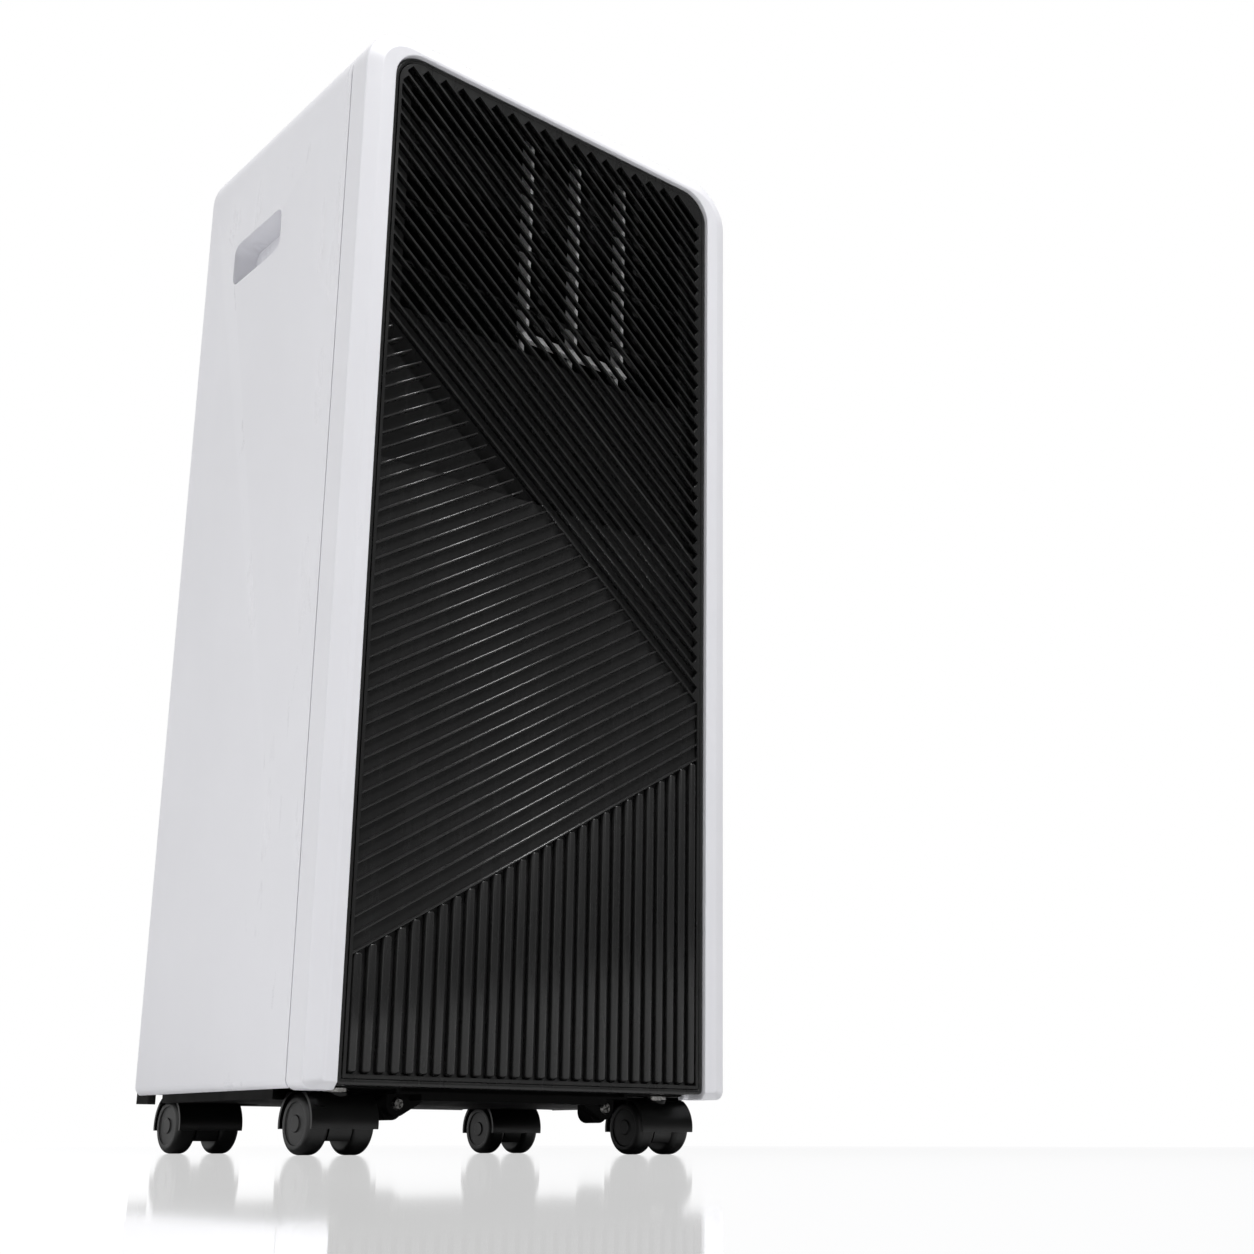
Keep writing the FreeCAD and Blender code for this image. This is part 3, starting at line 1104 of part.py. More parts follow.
def caster_stems():
    """Steel stems pressed into the tray's sockets, each with a flange under the well's roof."""
    stems = []
    for tag in CASTERS:
        at = stem_place(tag)
        z0 = WHEEL_D / 2 + AXLE_R + STEM_OVER_AXLE
        stem = rod(STEM_R, well_roof() + SOCKET_H - 2 * EPS - z0, V(at.x, at.y, z0))
        flange_z = hood_top() + LINK_GAP
        flange = rod(STEM_FLANGE_R, well_roof() - flange_z, V(at.x, at.y, flange_z))
        stems.append(stem.fuse(flange).removeSplitter())
    return Part.makeCompound(stems)


def keep_between(body, z0, z1):
    """Part of a body between two heights."""
    box = body.BoundBox
    return body.common(block(box.XMin - EPS, box.XMax + EPS, box.YMin - EPS, box.YMax + EPS, z0, z1))


def caster_hood(tag):
    """Web between the wheels, under a mudguard that covers the upper half of both."""
    side, axle_y = CASTERS[tag]
    x, stem = side * CASTER_X, stem_place(tag)
    axle_z = WHEEL_D / 2
    web_at = V(x - CASTER_WEB / 2, axle_y, axle_z)
    guard_r = WHEEL_D / 2 + HOOD_CLEAR
    web = keep_between(rod(WEB_R, CASTER_WEB, web_at, AXIS_X), axle_z - WEB_DROP, hood_top())
    spine = rod(guard_r + HOOD_T / 2, CASTER_WEB, web_at, AXIS_X)
    spine = keep_between(spine, axle_z - HOOD_SKIRT, hood_top())
    guard = ring(guard_r + HOOD_T, guard_r, 2 * GUARD_HALF, V(x - GUARD_HALF, axle_y, axle_z), AXIS_X)
    guard = keep_between(guard, axle_z - HOOD_SKIRT, hood_top())
    tower = rod(CASTER_WEB / 2, hood_top() - axle_z, V(stem.x, stem.y, axle_z))
    body = join([web, spine, guard, tower])
    stem_z = axle_z + AXLE_R + STEM_OVER_AXLE - EPS
    body = body.cut(rod(STEM_R + RUNNING_FIT, hood_top(), V(stem.x, stem.y, stem_z)))
    return body.cut(rod(AXLE_R, CASTER_WEB * 2, V(x - CASTER_WEB, axle_y, axle_z), AXIS_X))


def caster_axle(tag):
    side, axle_y = CASTERS[tag]
    half = GUARD_HALF - AXLE_END_GAP
    return rod(AXLE_R, 2 * half, V(side * CASTER_X - half, axle_y, WHEEL_D / 2), AXIS_X)


def caster_wheel(tag, hand):
    """One wheel of a pair; hand is -1 for the left wheel and +1 for the right."""
    side, axle_y = CASTERS[tag]
    inner = side * CASTER_X + hand * (CASTER_WEB / 2 + WHEEL_SIDE_GAP)
    outer = inner + hand * WHEEL_TREAD_W
    axis = AXIS_X * hand
    wheel = rod(WHEEL_D / 2, WHEEL_TREAD_W, V(inner, axle_y, WHEEL_D / 2), axis)
    rims = [e for e in wheel.Edges if e.BoundBox.XLength < 1e-6]
    wheel = wheel.makeFillet(WHEEL_EDGE_R, rims)
    dish = rod(WHEEL_DISH_R, 2 * WHEEL_DISH_D, V(outer - hand * WHEEL_DISH_D, axle_y, WHEEL_D / 2), axis)
    cap = rod(WHEEL_CAP_R, 2 * WHEEL_DISH_D, V(outer - hand * 2 * WHEEL_DISH_D, axle_y, WHEEL_D / 2), axis)
    wheel = wheel.cut(dish).fuse(cap)
    bore_l = WHEEL_TREAD_W - AXLE_END_GAP + FIT_GAP
    bore_at = V(inner - hand * EPS, axle_y, WHEEL_D / 2)
    return wheel.cut(rod(AXLE_R + RUNNING_FIT, bore_l + EPS, bore_at, axis))


# ---- every piece --------------------------------------------------------------
def all_parts():
    parts = {
        "base_tray": base_tray(), "main_shell": main_shell(), "case_screws": case_screws(),
        "front_frame": front_frame(), "upper_grille": upper_grille(), "lower_panel": lower_panel(),
        "back_cover": back_cover(), "exhaust_collar": exhaust_collar(),
        "intake_filter_frame": intake_filter_frame(), "filter_mesh": filter_mesh(),
        "drain_pipe": drain_pipe(), "drain_plug": drain_plug(), "cord_gland": cord_gland(),
        "control_panel": control_panel(), "display_window": display_window(),
        "control_board": control_board(),
        "outlet_duct": outlet_duct(), "vane_tie_bar": vane_tie_bar(), "swing_motor": swing_motor(),
        "fan_bulkhead": fan_bulkhead(),
        "upper_blower_housing": blower_housing(UPPER_FAN_Z, DUCT_REAR_FLOOR),
        "lower_blower_housing": blower_housing(LOWER_FAN_Z, BOTTOM + LOWER_FAN_TOP),
        "upper_blower_wheel": blower_wheel(UPPER_FAN_Z), "lower_blower_wheel": blower_wheel(LOWER_FAN_Z),
        "upper_fan_motor": fan_motor(UPPER_FAN_Z), "lower_fan_motor": fan_motor(LOWER_FAN_Z),
        "exhaust_duct": exhaust_duct(), "middle_deck": middle_deck(),
        "evaporator_coil": coil(evaporator_z(), EVAPORATOR_H),
        "condenser_coil": coil(condenser_z(), condenser_h()),
        "compressor": compressor(), "compressor_grommets": compressor_grommets(),
        "accumulator": accumulator(),
        "discharge_pipe": discharge_pipe(), "suction_pipe": suction_pipe(),
        "caster_stems": caster_stems(),
    }
    for name, place in button_places().items():
        parts[name] = button(place)
    for k in range(VANE_COUNT):
        parts[f"vane_{k + 1}"] = vane(k)
    for tag in CASTERS:
        parts[f"caster_{tag}_hood"] = caster_hood(tag)
        parts[f"caster_{tag}_axle"] = caster_axle(tag)
        parts[f"caster_{tag}_wheel_left"] = caster_wheel(tag, -1)
        parts[f"caster_{tag}_wheel_right"] = caster_wheel(tag, 1)
    return parts


os.makedirs("parts", exist_ok=True)
for node, shape in all_parts().items():
    if not shape.isValid() or not shape.Solids:
        raise ValueError(f"{node} isn't a valid solid")
    print(node, len(shape.Solids), round(shape.Volume / 1000.0, 2))
    shape.exportStep(f"parts/{node}.step")
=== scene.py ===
"""Looks of a compact portable air conditioner, built round its CAD frame. Metres, Z up, front towards -Y."""
import json
import logging
import math
from dataclasses import dataclass, field
from enum import Enum
from typing import Any, Sequence

import bmesh
import bpy
from mathutils import Matrix, Vector

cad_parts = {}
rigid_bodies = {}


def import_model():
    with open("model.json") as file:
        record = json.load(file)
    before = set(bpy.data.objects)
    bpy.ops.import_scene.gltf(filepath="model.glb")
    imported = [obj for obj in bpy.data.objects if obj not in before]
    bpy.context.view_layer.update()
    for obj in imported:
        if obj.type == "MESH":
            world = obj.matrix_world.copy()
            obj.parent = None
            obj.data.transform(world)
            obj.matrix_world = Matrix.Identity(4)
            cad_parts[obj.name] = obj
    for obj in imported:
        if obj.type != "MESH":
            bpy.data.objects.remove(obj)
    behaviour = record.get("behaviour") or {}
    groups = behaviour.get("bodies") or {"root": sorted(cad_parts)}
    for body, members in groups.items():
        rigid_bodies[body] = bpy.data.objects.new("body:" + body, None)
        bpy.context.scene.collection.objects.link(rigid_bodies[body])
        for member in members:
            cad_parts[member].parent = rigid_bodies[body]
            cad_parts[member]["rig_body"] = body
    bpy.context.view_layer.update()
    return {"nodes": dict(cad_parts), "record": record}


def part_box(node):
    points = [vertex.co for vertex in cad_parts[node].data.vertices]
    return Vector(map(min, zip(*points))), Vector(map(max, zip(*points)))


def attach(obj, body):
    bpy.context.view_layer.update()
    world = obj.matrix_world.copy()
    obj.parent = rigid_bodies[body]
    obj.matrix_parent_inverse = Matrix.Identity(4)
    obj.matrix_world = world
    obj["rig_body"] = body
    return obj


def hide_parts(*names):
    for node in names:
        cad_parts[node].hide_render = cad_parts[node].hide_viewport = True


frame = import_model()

log = logging.getLogger("air_conditioner")
MM = 0.001

Point2 = tuple[float, float]
Loop = list[Point2]


# ---- node graphs ----------------------------------------------------------------
class Graph:
    """A node tree that is being wired."""

    def __init__(self, tree: bpy.types.NodeTree) -> None:
        """Starts on an empty tree.

        Args:
            tree: The shader or geometry tree to fill.
        """
        self.tree = tree
        tree.nodes.clear()

    def add(self, kind: str, inputs: dict[Any, Any] | None = None, **settings: Any) -> bpy.types.Node:
        """Adds a node.

        Args:
            kind: The node's type name.
            inputs: A value or an output socket for each input, by name or place.
            settings: Properties of the node itself.

        Returns:
            The new node.
        """
        node = self.tree.nodes.new(kind)
        for key, value in settings.items():
            setattr(node, key, value)
        for key, value in (inputs or {}).items():
            self.feed(node.inputs[key], value)
        return node

    def feed(self, socket: bpy.types.NodeSocket, value: Any) -> None:
        """Fills an input.

        Args:
            socket: The input.
            value: An output socket to link to it, or its own value.
        """
        if isinstance(value, bpy.types.NodeSocket):
            self.tree.links.new(value, socket)
        else:
            socket.default_value = value

    def math(self, operation: str, *values: Any) -> bpy.types.NodeSocket:
        """One Math node; returns its output."""
        return self.add("ShaderNodeMath", dict(enumerate(values)), operation=operation).outputs[0]

    def vec(self, operation: str, *values: Any) -> bpy.types.NodeSocket:
        """One Vector Math node; returns its vector, or its value where the result is a number."""
        node = self.add("ShaderNodeVectorMath", dict(enumerate(values)), operation=operation)
        return node.outputs[1] if operation in ("DOT_PRODUCT", "LENGTH") else node.outputs[0]

    def scale(self, vector: Any, factor: Any) -> bpy.types.NodeSocket:
        """A vector times a number."""
        return self.add("ShaderNodeVectorMath", {0: vector, "Scale": factor}, operation="SCALE").outputs[0]


class GeometryTree(Graph):
    """A Geometry Nodes tree with named inputs, which ends in Realize Instances and Set Material."""

    SOCKETS = {float: "NodeSocketFloat", int: "NodeSocketInt", Vector: "NodeSocketVector"}

    def __init__(self, name: str, sizes: dict[str, Any]) -> None:
        """Opens a tree.

        Args:
            name: The tree's name.
            sizes: Each named input with its usual value.
        """
        super().__init__(bpy.data.node_groups.new(name, "GeometryNodeTree"))
        face = self.tree.interface
        face.new_socket("Geometry", in_out="INPUT", socket_type="NodeSocketGeometry")
        for label, value in sizes.items():
            socket = face.new_socket(label, in_out="INPUT", socket_type=self.SOCKETS[type(value)])
            socket.default_value = value
        face.new_socket("Material", in_out="INPUT", socket_type="NodeSocketMaterial")
        face.new_socket("Geometry", in_out="OUTPUT", socket_type="NodeSocketGeometry")
        self.given = self.add("NodeGroupInput").outputs
        self.outline: Any = None

    def finish(self, geometry: bpy.types.NodeSocket) -> bpy.types.NodeTree:
        """Closes the tree.

        Args:
            geometry: What the tree has made.

        Returns:
            The finished node group.
        """
        real = self.add("GeometryNodeRealizeInstances", {0: geometry}).outputs[0]
        dressed = self.add("GeometryNodeSetMaterial", {"Geometry": real, "Material": self.given["Material"]})
        self.add("NodeGroupOutput", {0: dressed.outputs[0]})
        return self.tree

    def stored(self, name: str, kind: str = "FLOAT_VECTOR") -> bpy.types.NodeSocket:
        """Reads a named attribute."""
        return self.add("GeometryNodeInputNamedAttribute", {"Name": name}, data_type=kind).outputs[0]

    def store(self, geometry: Any, name: str, value: Any, kind: str = "FLOAT_VECTOR",
              domain: str = "POINT") -> Any:
        """Keeps a value on the geometry under a name."""
        inputs = {"Geometry": geometry, "Name": name, "Value": value}
        return self.add("GeometryNodeStoreNamedAttribute", inputs, data_type=kind, domain=domain).outputs[0]


def grow(tree: bpy.types.NodeTree, start: bpy.types.Mesh | None, sizes: dict[str, Any],
         finish: bpy.types.Material) -> bpy.types.Mesh:
    """Runs a tree once and keeps its result as a plain mesh.

    Args:
        tree: The Geometry Nodes group.
        start: The mesh that it starts from, if any.
        sizes: A value for each named input that differs from its usual one.
        finish: The material that it sets.

    Returns:
        The evaluated mesh, free of the modifier.
    """
    seed = bpy.data.objects.new("seed", start or bpy.data.meshes.new("seed"))
    bpy.context.scene.collection.objects.link(seed)
    modifier = seed.modifiers.new("grow", "NODES")
    modifier.node_group = tree
    names = {s.name: s.identifier for s in tree.interface.items_tree if s.in_out == "INPUT"}
    for label, value in {**sizes, "Material": finish}.items():
        modifier[names[label]] = value
    seed.update_tag()
    result = bpy.data.meshes.new_from_object(seed.evaluated_get(bpy.context.evaluated_depsgraph_get()))
    bpy.data.objects.remove(seed)
    return result


REACH = 1.0             # rays start this far out, on both sides of a ribbed field
UPRIGHT_WALL = 0.99     # a wall whose normal is this level stands upright
SHARP_EDGE = 0.6        # in radians
SAME_POINT = 1e-6       # points closer than this are one
SLIGHT = 1e-5


def ray_to_wall(g: GeometryTree, wall: Any, origin: Any, direction: Any) -> bpy.types.Node:
    """Casts a ray in the field's plane onto the wall round it.

    Args:
        g: The tree.
        wall: The wall's geometry.
        origin: Where the ray starts.
        direction: Where it goes.

    Returns:
        The Raycast node.
    """
    inputs = {"Target Geometry": wall, "Source Position": origin, "Ray Direction": direction,
              "Ray Length": 4 * REACH}
    return g.add("GeometryNodeRaycast", inputs, data_type="FLOAT")


def line_frame(g: GeometryTree) -> tuple[Any, Any, Any]:
    """Shared start of the rib trees: the wall round the field and the ribs' two directions.

    Args:
        g: The tree, which also keeps the other outlines as its own.

    Returns:
        The wall, the direction along the ribs and the one across them.
    """
    given = g.given
    flagged = {0: given["Geometry"], 1: g.stored("field_edge", "BOOLEAN")}
    parts = g.add("GeometryNodeSeparateGeometry", flagged, domain="EDGE").outputs
    sunk = g.add("GeometryNodeSetPosition", {0: parts[0], "Offset": (0, 0, -REACH)}).outputs[0]
    up = g.add("ShaderNodeCombineXYZ", {2: 1.0}).outputs[0]
    wall = g.add("GeometryNodeExtrudeMesh", {0: sunk, "Offset": up, "Offset Scale": 2 * REACH},
                 mode="EDGES").outputs[0]
    cosine, sine = g.math("COSINE", given["Angle"]), g.math("SINE", given["Angle"])
    along = g.add("ShaderNodeCombineXYZ", {0: cosine, 1: sine}).outputs[0]
    across = g.add("ShaderNodeCombineXYZ", {0: g.math("MULTIPLY", sine, -1.0), 1: cosine}).outputs[0]
    g.outline = parts[1]
    return wall, along, across


def rib_points(g: GeometryTree, across: Any) -> Any:
    """One point for each rib, a pitch apart.

    Args:
        g: The tree, with inputs Count, First and Pitch.
        across: Direction across the ribs.

    Returns:
        The points.
    """
    return g.add("GeometryNodeMeshLine", {"Count": g.given["Count"],
                                          "Start Location": g.scale(across, g.given["First"]),
                                          "Offset": g.scale(across, g.given["Pitch"])}).outputs[0]


def kept_points(g: GeometryTree, points: Any, whole: Any) -> Any:
    """Drops the points whose rib misses the field or is too short.

    Args:
        g: The tree.
        points: The points.
        whole: 1 where the rib stays.

    Returns:
        The points that stay.
    """
    points = g.store(points, "whole", whole, "FLOAT")
    missing = g.math("LESS_THAN", g.stored("whole", "FLOAT"), 0.5)
    return g.add("GeometryNodeDeleteGeometry", {0: points, 1: missing}).outputs[0]


def slotted_land_tree() -> bpy.types.NodeTree:
    """Tree for a moulded land with sloping slots through it.

    The start mesh holds the land's outlines and, flagged field_edge, the outline of the slotted field.

    Returns:
        The node group.
    """
    g = GeometryTree("slotted_land", {
        "Angle": 0.0, "Pitch": 8 * MM, "First": 0.0, "Count": 8, "Rib": 1.5 * MM, "Depth": 9 * MM,
        "Front": 0.0, "Slot Corner": 0.5 * MM, "Shortest": 3 * MM})
    given = g.given
    wall, along, across = line_frame(g)
    points = rib_points(g, across)
    place = g.add("GeometryNodeInputPosition").outputs[0]
    half = g.math("MULTIPLY", given["Rib"], 0.5)
    low = g.vec("ADD", place, g.scale(across, half))
    high = g.vec("ADD", place, g.scale(across, g.math("SUBTRACT", given["Pitch"], half)))
    back = g.scale(along, -1.0)
    left, right, starts = [], [], []
    for edge in (low, high):
        start = g.vec("SUBTRACT", edge, g.scale(along, REACH))
        starts.append(start)
        left.append(ray_to_wall(g, wall, start, along))
        right.append(ray_to_wall(g, wall, g.vec("ADD", edge, g.scale(along, REACH)), back))
    facing = [g.vec("DOT_PRODUCT", ray.outputs["Hit Normal"], (1, 0, 0)) for ray in left]
    upright = [g.math("ABSOLUTE", share) for share in facing]
    follows = g.math("GREATER_THAN", g.math("MINIMUM", *upright), UPRIGHT_WALL)
    lengths = [ray.outputs["Hit Distance"] for ray in left]
    squared = g.math("MAXIMUM", *lengths)
    near = [g.add("ShaderNodeMix", {0: follows, 2: squared, 3: own}, data_type="FLOAT").outputs[0]
            for own in lengths]
    far = g.math("SUBTRACT", 2 * REACH, g.math("MAXIMUM", *[ray.outputs["Hit Distance"] for ray in right]))
    corners = [g.vec("ADD", starts[0], g.scale(along, near[0])), g.vec("ADD", starts[0], g.scale(along, far)),
               g.vec("ADD", starts[1], g.scale(along, far)), g.vec("ADD", starts[1], g.scale(along, near[1]))]
    for k, corner in enumerate(corners):
        points = g.store(points, f"corner_{k}", corner)
    hits = [ray.outputs["Is Hit"] for ray in left + right]
    every = g.math("MINIMUM", g.math("MINIMUM", hits[0], hits[1]), g.math("MINIMUM", hits[2], hits[3]))
    length = g.math("SUBTRACT", far, squared)
    whole = g.math("MULTIPLY", every, g.math("GREATER_THAN", length, given["Shortest"]))
    points = kept_points(g, points, whole)
    square = g.add("GeometryNodeMeshCircle", {"Vertices": 4, "Radius": MM}).outputs[0]
    slots = g.add("GeometryNodeInstanceOnPoints", {"Points": points, "Instance": square}).outputs[0]
    slots = g.add("GeometryNodeRealizeInstances", {0: slots}).outputs[0]
    turn = g.math("MODULO", g.add("GeometryNodeInputIndex").outputs[0], 4.0)
    spot: Any = g.stored("corner_0")
    for k in (1, 2, 3):
        chosen = g.math("COMPARE", turn, float(k), 0.5)
        either = {0: chosen, 4: spot, 5: g.stored(f"corner_{k}")}
        spot = g.add("ShaderNodeMix", either, data_type="VECTOR").outputs[1]
    slots = g.add("GeometryNodeSetPosition", {0: slots, "Position": spot}).outputs[0]
    rims = g.add("GeometryNodeMeshToCurve", {0: slots}).outputs[0]
    corner = {0: rims, "Count": 3, "Radius": given["Slot Corner"], "Limit Radius": True}
    rims = g.add("GeometryNodeFilletCurve", corner, mode="POLY").outputs[0]
    outline = g.add("GeometryNodeMeshToCurve", {0: g.outline}).outputs[0]
    both = g.add("GeometryNodeJoinGeometry")
    for part in (rims, outline):
        g.tree.links.new(part, both.inputs[0])
    face = g.add("GeometryNodeFillCurve", {0: both.outputs[0]}, mode="NGONS").outputs[0]
    down = g.add("ShaderNodeCombineXYZ", {2: g.math("SUBTRACT", given["Front"], given["Depth"])}).outputs[0]
    face = g.add("GeometryNodeSetPosition", {0: face, "Offset": down}).outputs[0]
    up = g.add("ShaderNodeCombineXYZ", {2: 1.0}).outputs[0]
    raised = g.add("GeometryNodeExtrudeMesh", {0: face, "Offset": up, "Offset Scale": given["Depth"],
                                               "Individual": False}, mode="FACES").outputs[0]
    closed = g.add("GeometryNodeJoinGeometry")
    for part in (raised, g.add("GeometryNodeFlipFaces", {0: face}).outputs[0]):
        g.tree.links.new(part, closed.inputs[0])
    body = g.add("GeometryNodeMergeByDistance", {0: closed.outputs[0], "Distance": SAME_POINT}).outputs[0]
    height = g.add("ShaderNodeSeparateXYZ", {0: g.add("GeometryNodeInputPosition").outputs[0]}).outputs[2]
    on_top = g.math("GREATER_THAN", height, g.math("SUBTRACT", given["Front"], SLIGHT))
    sharp = g.math("GREATER_THAN", g.add("GeometryNodeInputMeshEdgeAngle").outputs[0], SHARP_EDGE)
    body = g.store(body, "bevel_weight_edge", g.math("MULTIPLY", on_top, sharp), "FLOAT", "EDGE")
    return g.finish(body)


def moulded_ribs_tree() -> bpy.types.NodeTree:
    """Tree for free-standing moulded ribs that run across a field.

    Each rib is one rounded bar whose ends meet, pass or stop short of the field's outline.

    Returns:
        The node group.
    """
    g = GeometryTree("moulded_ribs", {
        "Angle": 0.0, "Pitch": 8 * MM, "First": 0.0, "Count": 8, "Width": 1.8 * MM, "Height": 2.4 * MM,
        "Root": 2 * MM, "Start Overlap": 0.0, "End Overlap": 0.0, "End Radius": MM, "Squareness": 2.0,
        "Front": 0.0, "Shortest": 3 * MM})
    given = g.given
    wall, along, across = line_frame(g)
    points = rib_points(g, across)
    place = g.add("GeometryNodeInputPosition").outputs[0]
    start = g.vec("SUBTRACT", place, g.scale(along, REACH))
    left = ray_to_wall(g, wall, start, along)
    right = ray_to_wall(g, wall, g.vec("ADD", place, g.scale(along, REACH)), g.scale(along, -1.0))
    near = g.math("SUBTRACT", left.outputs["Hit Distance"], given["Start Overlap"])
    far = g.math("SUBTRACT", g.math("ADD", 2 * REACH, given["End Overlap"]), right.outputs["Hit Distance"])
    length = g.math("SUBTRACT", far, near)
    both = g.math("MINIMUM", left.outputs["Is Hit"], right.outputs["Is Hit"])
    whole = g.math("MULTIPLY", both, g.math("GREATER_THAN", length, given["Shortest"]))
    points = g.store(points, "rib_half", g.math("MULTIPLY", length, 0.5), "FLOAT")
    middle = g.vec("ADD", start, g.scale(along, g.math("MULTIPLY", g.math("ADD", near, far), 0.5)))
    points = kept_points(g, g.store(points, "rib_middle", middle), whole)
    ball = g.add("GeometryNodeMeshUVSphere", {"Segments": 20, "Rings": 9, "Radius": 1.0}).outputs[0]
    ribs = g.add("GeometryNodeInstanceOnPoints", {"Points": points, "Instance": ball}).outputs[0]
    ribs = g.store(ribs, "rib_origin", place, domain="INSTANCE")
    ribs = g.add("GeometryNodeRealizeInstances", {0: ribs}).outputs[0]
    local = g.add("ShaderNodeSeparateXYZ", {0: g.vec("SUBTRACT", place, g.stored("rib_origin"))}).outputs
    tip, side, rise = local[2], local[0], local[1]
    squares = g.math("ADD", g.math("MULTIPLY", side, side), g.math("MULTIPLY", rise, rise))
    radius = g.math("MAXIMUM", g.math("SQRT", squares), SLIGHT)
    powers = [g.math("POWER", g.math("DIVIDE", g.math("ABSOLUTE", value), radius), given["Squareness"])
              for value in (side, rise)]
    swell = g.math("POWER", g.math("ADD", *powers), g.math("DIVIDE", -1.0, given["Squareness"]))
    straight = g.math("SUBTRACT", g.stored("rib_half", "FLOAT"), given["End Radius"])
    stretch = g.math("MULTIPLY", g.math("SIGN", tip), straight)
    run = g.math("ADD", stretch, g.math("MULTIPLY", tip, given["End Radius"]))
    wide = g.math("MULTIPLY", g.math("MULTIPLY", side, swell), g.math("MULTIPLY", given["Width"], 0.5))
    over = g.math("MULTIPLY", g.math("MAXIMUM", rise, 0.0), given["Height"])
    under = g.math("MULTIPLY", g.math("MINIMUM", rise, 0.0), given["Root"])
    rounded = g.math("MULTIPLY", g.math("ADD", over, under), swell)
    tall = g.math("SUBTRACT", g.math("ADD", rounded, given["Front"]), given["Height"])
    flat = g.vec("ADD", g.scale(along, run), g.scale(across, wide))
    lift = g.add("ShaderNodeCombineXYZ", {2: tall}).outputs[0]
    spot = g.vec("ADD", g.vec("ADD", g.stored("rib_middle"), flat), lift)
    ribs = g.add("GeometryNodeSetPosition", {0: ribs, "Position": spot}).outputs[0]
    return g.finish(g.add("GeometryNodeSetShadeSmooth", {0: ribs}).outputs[0])


def bar_row_tree() -> bpy.types.NodeTree:
    """Tree for a row of equal square bars.

    Returns:
        The node group.
    """
    g = GeometryTree("bar_row", {"Size": Vector((1, 1, 1)), "Start": Vector(), "Step": Vector(), "Count": 3})
    line = g.add("GeometryNodeMeshLine", {"Count": g.given["Count"], "Start Location": g.given["Start"],
                                          "Offset": g.given["Step"]}).outputs[0]
    bar = g.add("GeometryNodeMeshCube", {"Size": g.given["Size"]}).outputs[0]
    return g.finish(g.add("GeometryNodeInstanceOnPoints", {"Points": line, "Instance": bar}).outputs[0])


def screws_tree() -> bpy.types.NodeTree:
    """Tree for cross-head screws, one on each point of the start mesh, with their heads towards +Z.

    Returns:
        The node group.
    """
    g = GeometryTree("screws", {
        "Head Radius": 3 * MM, "Head Height": 1.5 * MM, "Length": 8 * MM, "Crown Share": 0.72,
        "Cross Width": 0.9 * MM, "Cross Share": 1.25, "Cross Depth": 1.1 * MM, "Shank Share": 0.5})
    given = g.given
    crown = g.math("MULTIPLY", given["Head Radius"], given["Crown Share"])
    cone = {"Vertices": 32, "Radius Top": crown, "Radius Bottom": given["Head Radius"],
            "Depth": given["Head Height"]}
    head = g.add("GeometryNodeMeshCone", cone).outputs["Mesh"]
    sunk = g.add("ShaderNodeCombineXYZ", {2: g.math("MULTIPLY", given["Head Height"], -1.0)}).outputs[0]
    head = g.add("GeometryNodeSetPosition", {0: head, "Offset": sunk}).outputs[0]
    reach = g.math("MULTIPLY", given["Head Radius"], given["Cross Share"])
    twice = g.math("MULTIPLY", given["Cross Depth"], 2.0)
    cutters = []
    for sides in ((reach, given["Cross Width"]), (given["Cross Width"], reach)):
        size = g.add("ShaderNodeCombineXYZ", {0: sides[0], 1: sides[1], 2: twice}).outputs[0]
        cutters.append(g.add("GeometryNodeMeshCube", {"Size": size}).outputs[0])
    cut = g.add("GeometryNodeMeshBoolean", {0: head}, operation="DIFFERENCE", solver="EXACT")
    for cutter in cutters:
        g.tree.links.new(cutter, cut.inputs[1])
    shank_r = g.math("MULTIPLY", given["Head Radius"], given["Shank Share"])
    shank_l = g.math("SUBTRACT", given["Length"], given["Head Height"])
    rod = {"Vertices": 16, "Radius": shank_r, "Depth": shank_l}
    shank = g.add("GeometryNodeMeshCylinder", rod).outputs[0]
    drop = g.math("MULTIPLY", g.math("ADD", given["Length"], given["Head Height"]), -0.5)
    lowered = g.add("ShaderNodeCombineXYZ", {2: drop}).outputs[0]
    shank = g.add("GeometryNodeSetPosition", {0: shank, "Offset": lowered})
    both = g.add("GeometryNodeJoinGeometry")
    for part in (shank.outputs[0], cut.outputs[0]):
        g.tree.links.new(part, both.inputs[0])
    placed = {"Points": given["Geometry"], "Instance": both.outputs[0]}
    return g.finish(g.add("GeometryNodeInstanceOnPoints", placed).outputs[0])


class Trees:
    """The Geometry Nodes groups, each made once."""

    slotted_land = slotted_land_tree()
    moulded_ribs = moulded_ribs_tree()
    bar_row = bar_row_tree()
    screws = screws_tree()


# ---- finishes -------------------------------------------------------------------
def grey(level: int, tint: Sequence[float] = (1.0, 1.0, 1.0)) -> tuple[float, float, float, float]:
    """A display grey level as a linear colour.

    Args:
        level: Grey from 0 to 255.
        tint: Factor on red, green and blue.

    Returns:
        Linear red, green, blue and alpha.
    """
    share = level / 255
    linear = share / 12.92 if share <= 0.04045 else ((share + 0.055) / 1.055) ** 2.4
    return (linear * tint[0], linear * tint[1], linear * tint[2], 1.0)


WAVES = math.tau / 20       # scale at which a wave texture repeats once in a metre
FIN_PITCH = 1.6 * MM
THREAD_PITCH = 1.5 * MM
BROAD_DRIFT = 90 * MM
SMEAR = 14 * MM


class Surface(Enum):
    """How a surface was made, which sets its grain."""

    SATIN_MOULDING = "satin"
    SPARK_TEXTURE = "spark"
    BRUSHED_METAL = "brushed"
    CAST_METAL = "cast"
    RUBBER = "rubber"
    FOIL_FINS = "fins"
    WOVEN_NET = "net"
    SMOKED_GLASS = "glass"


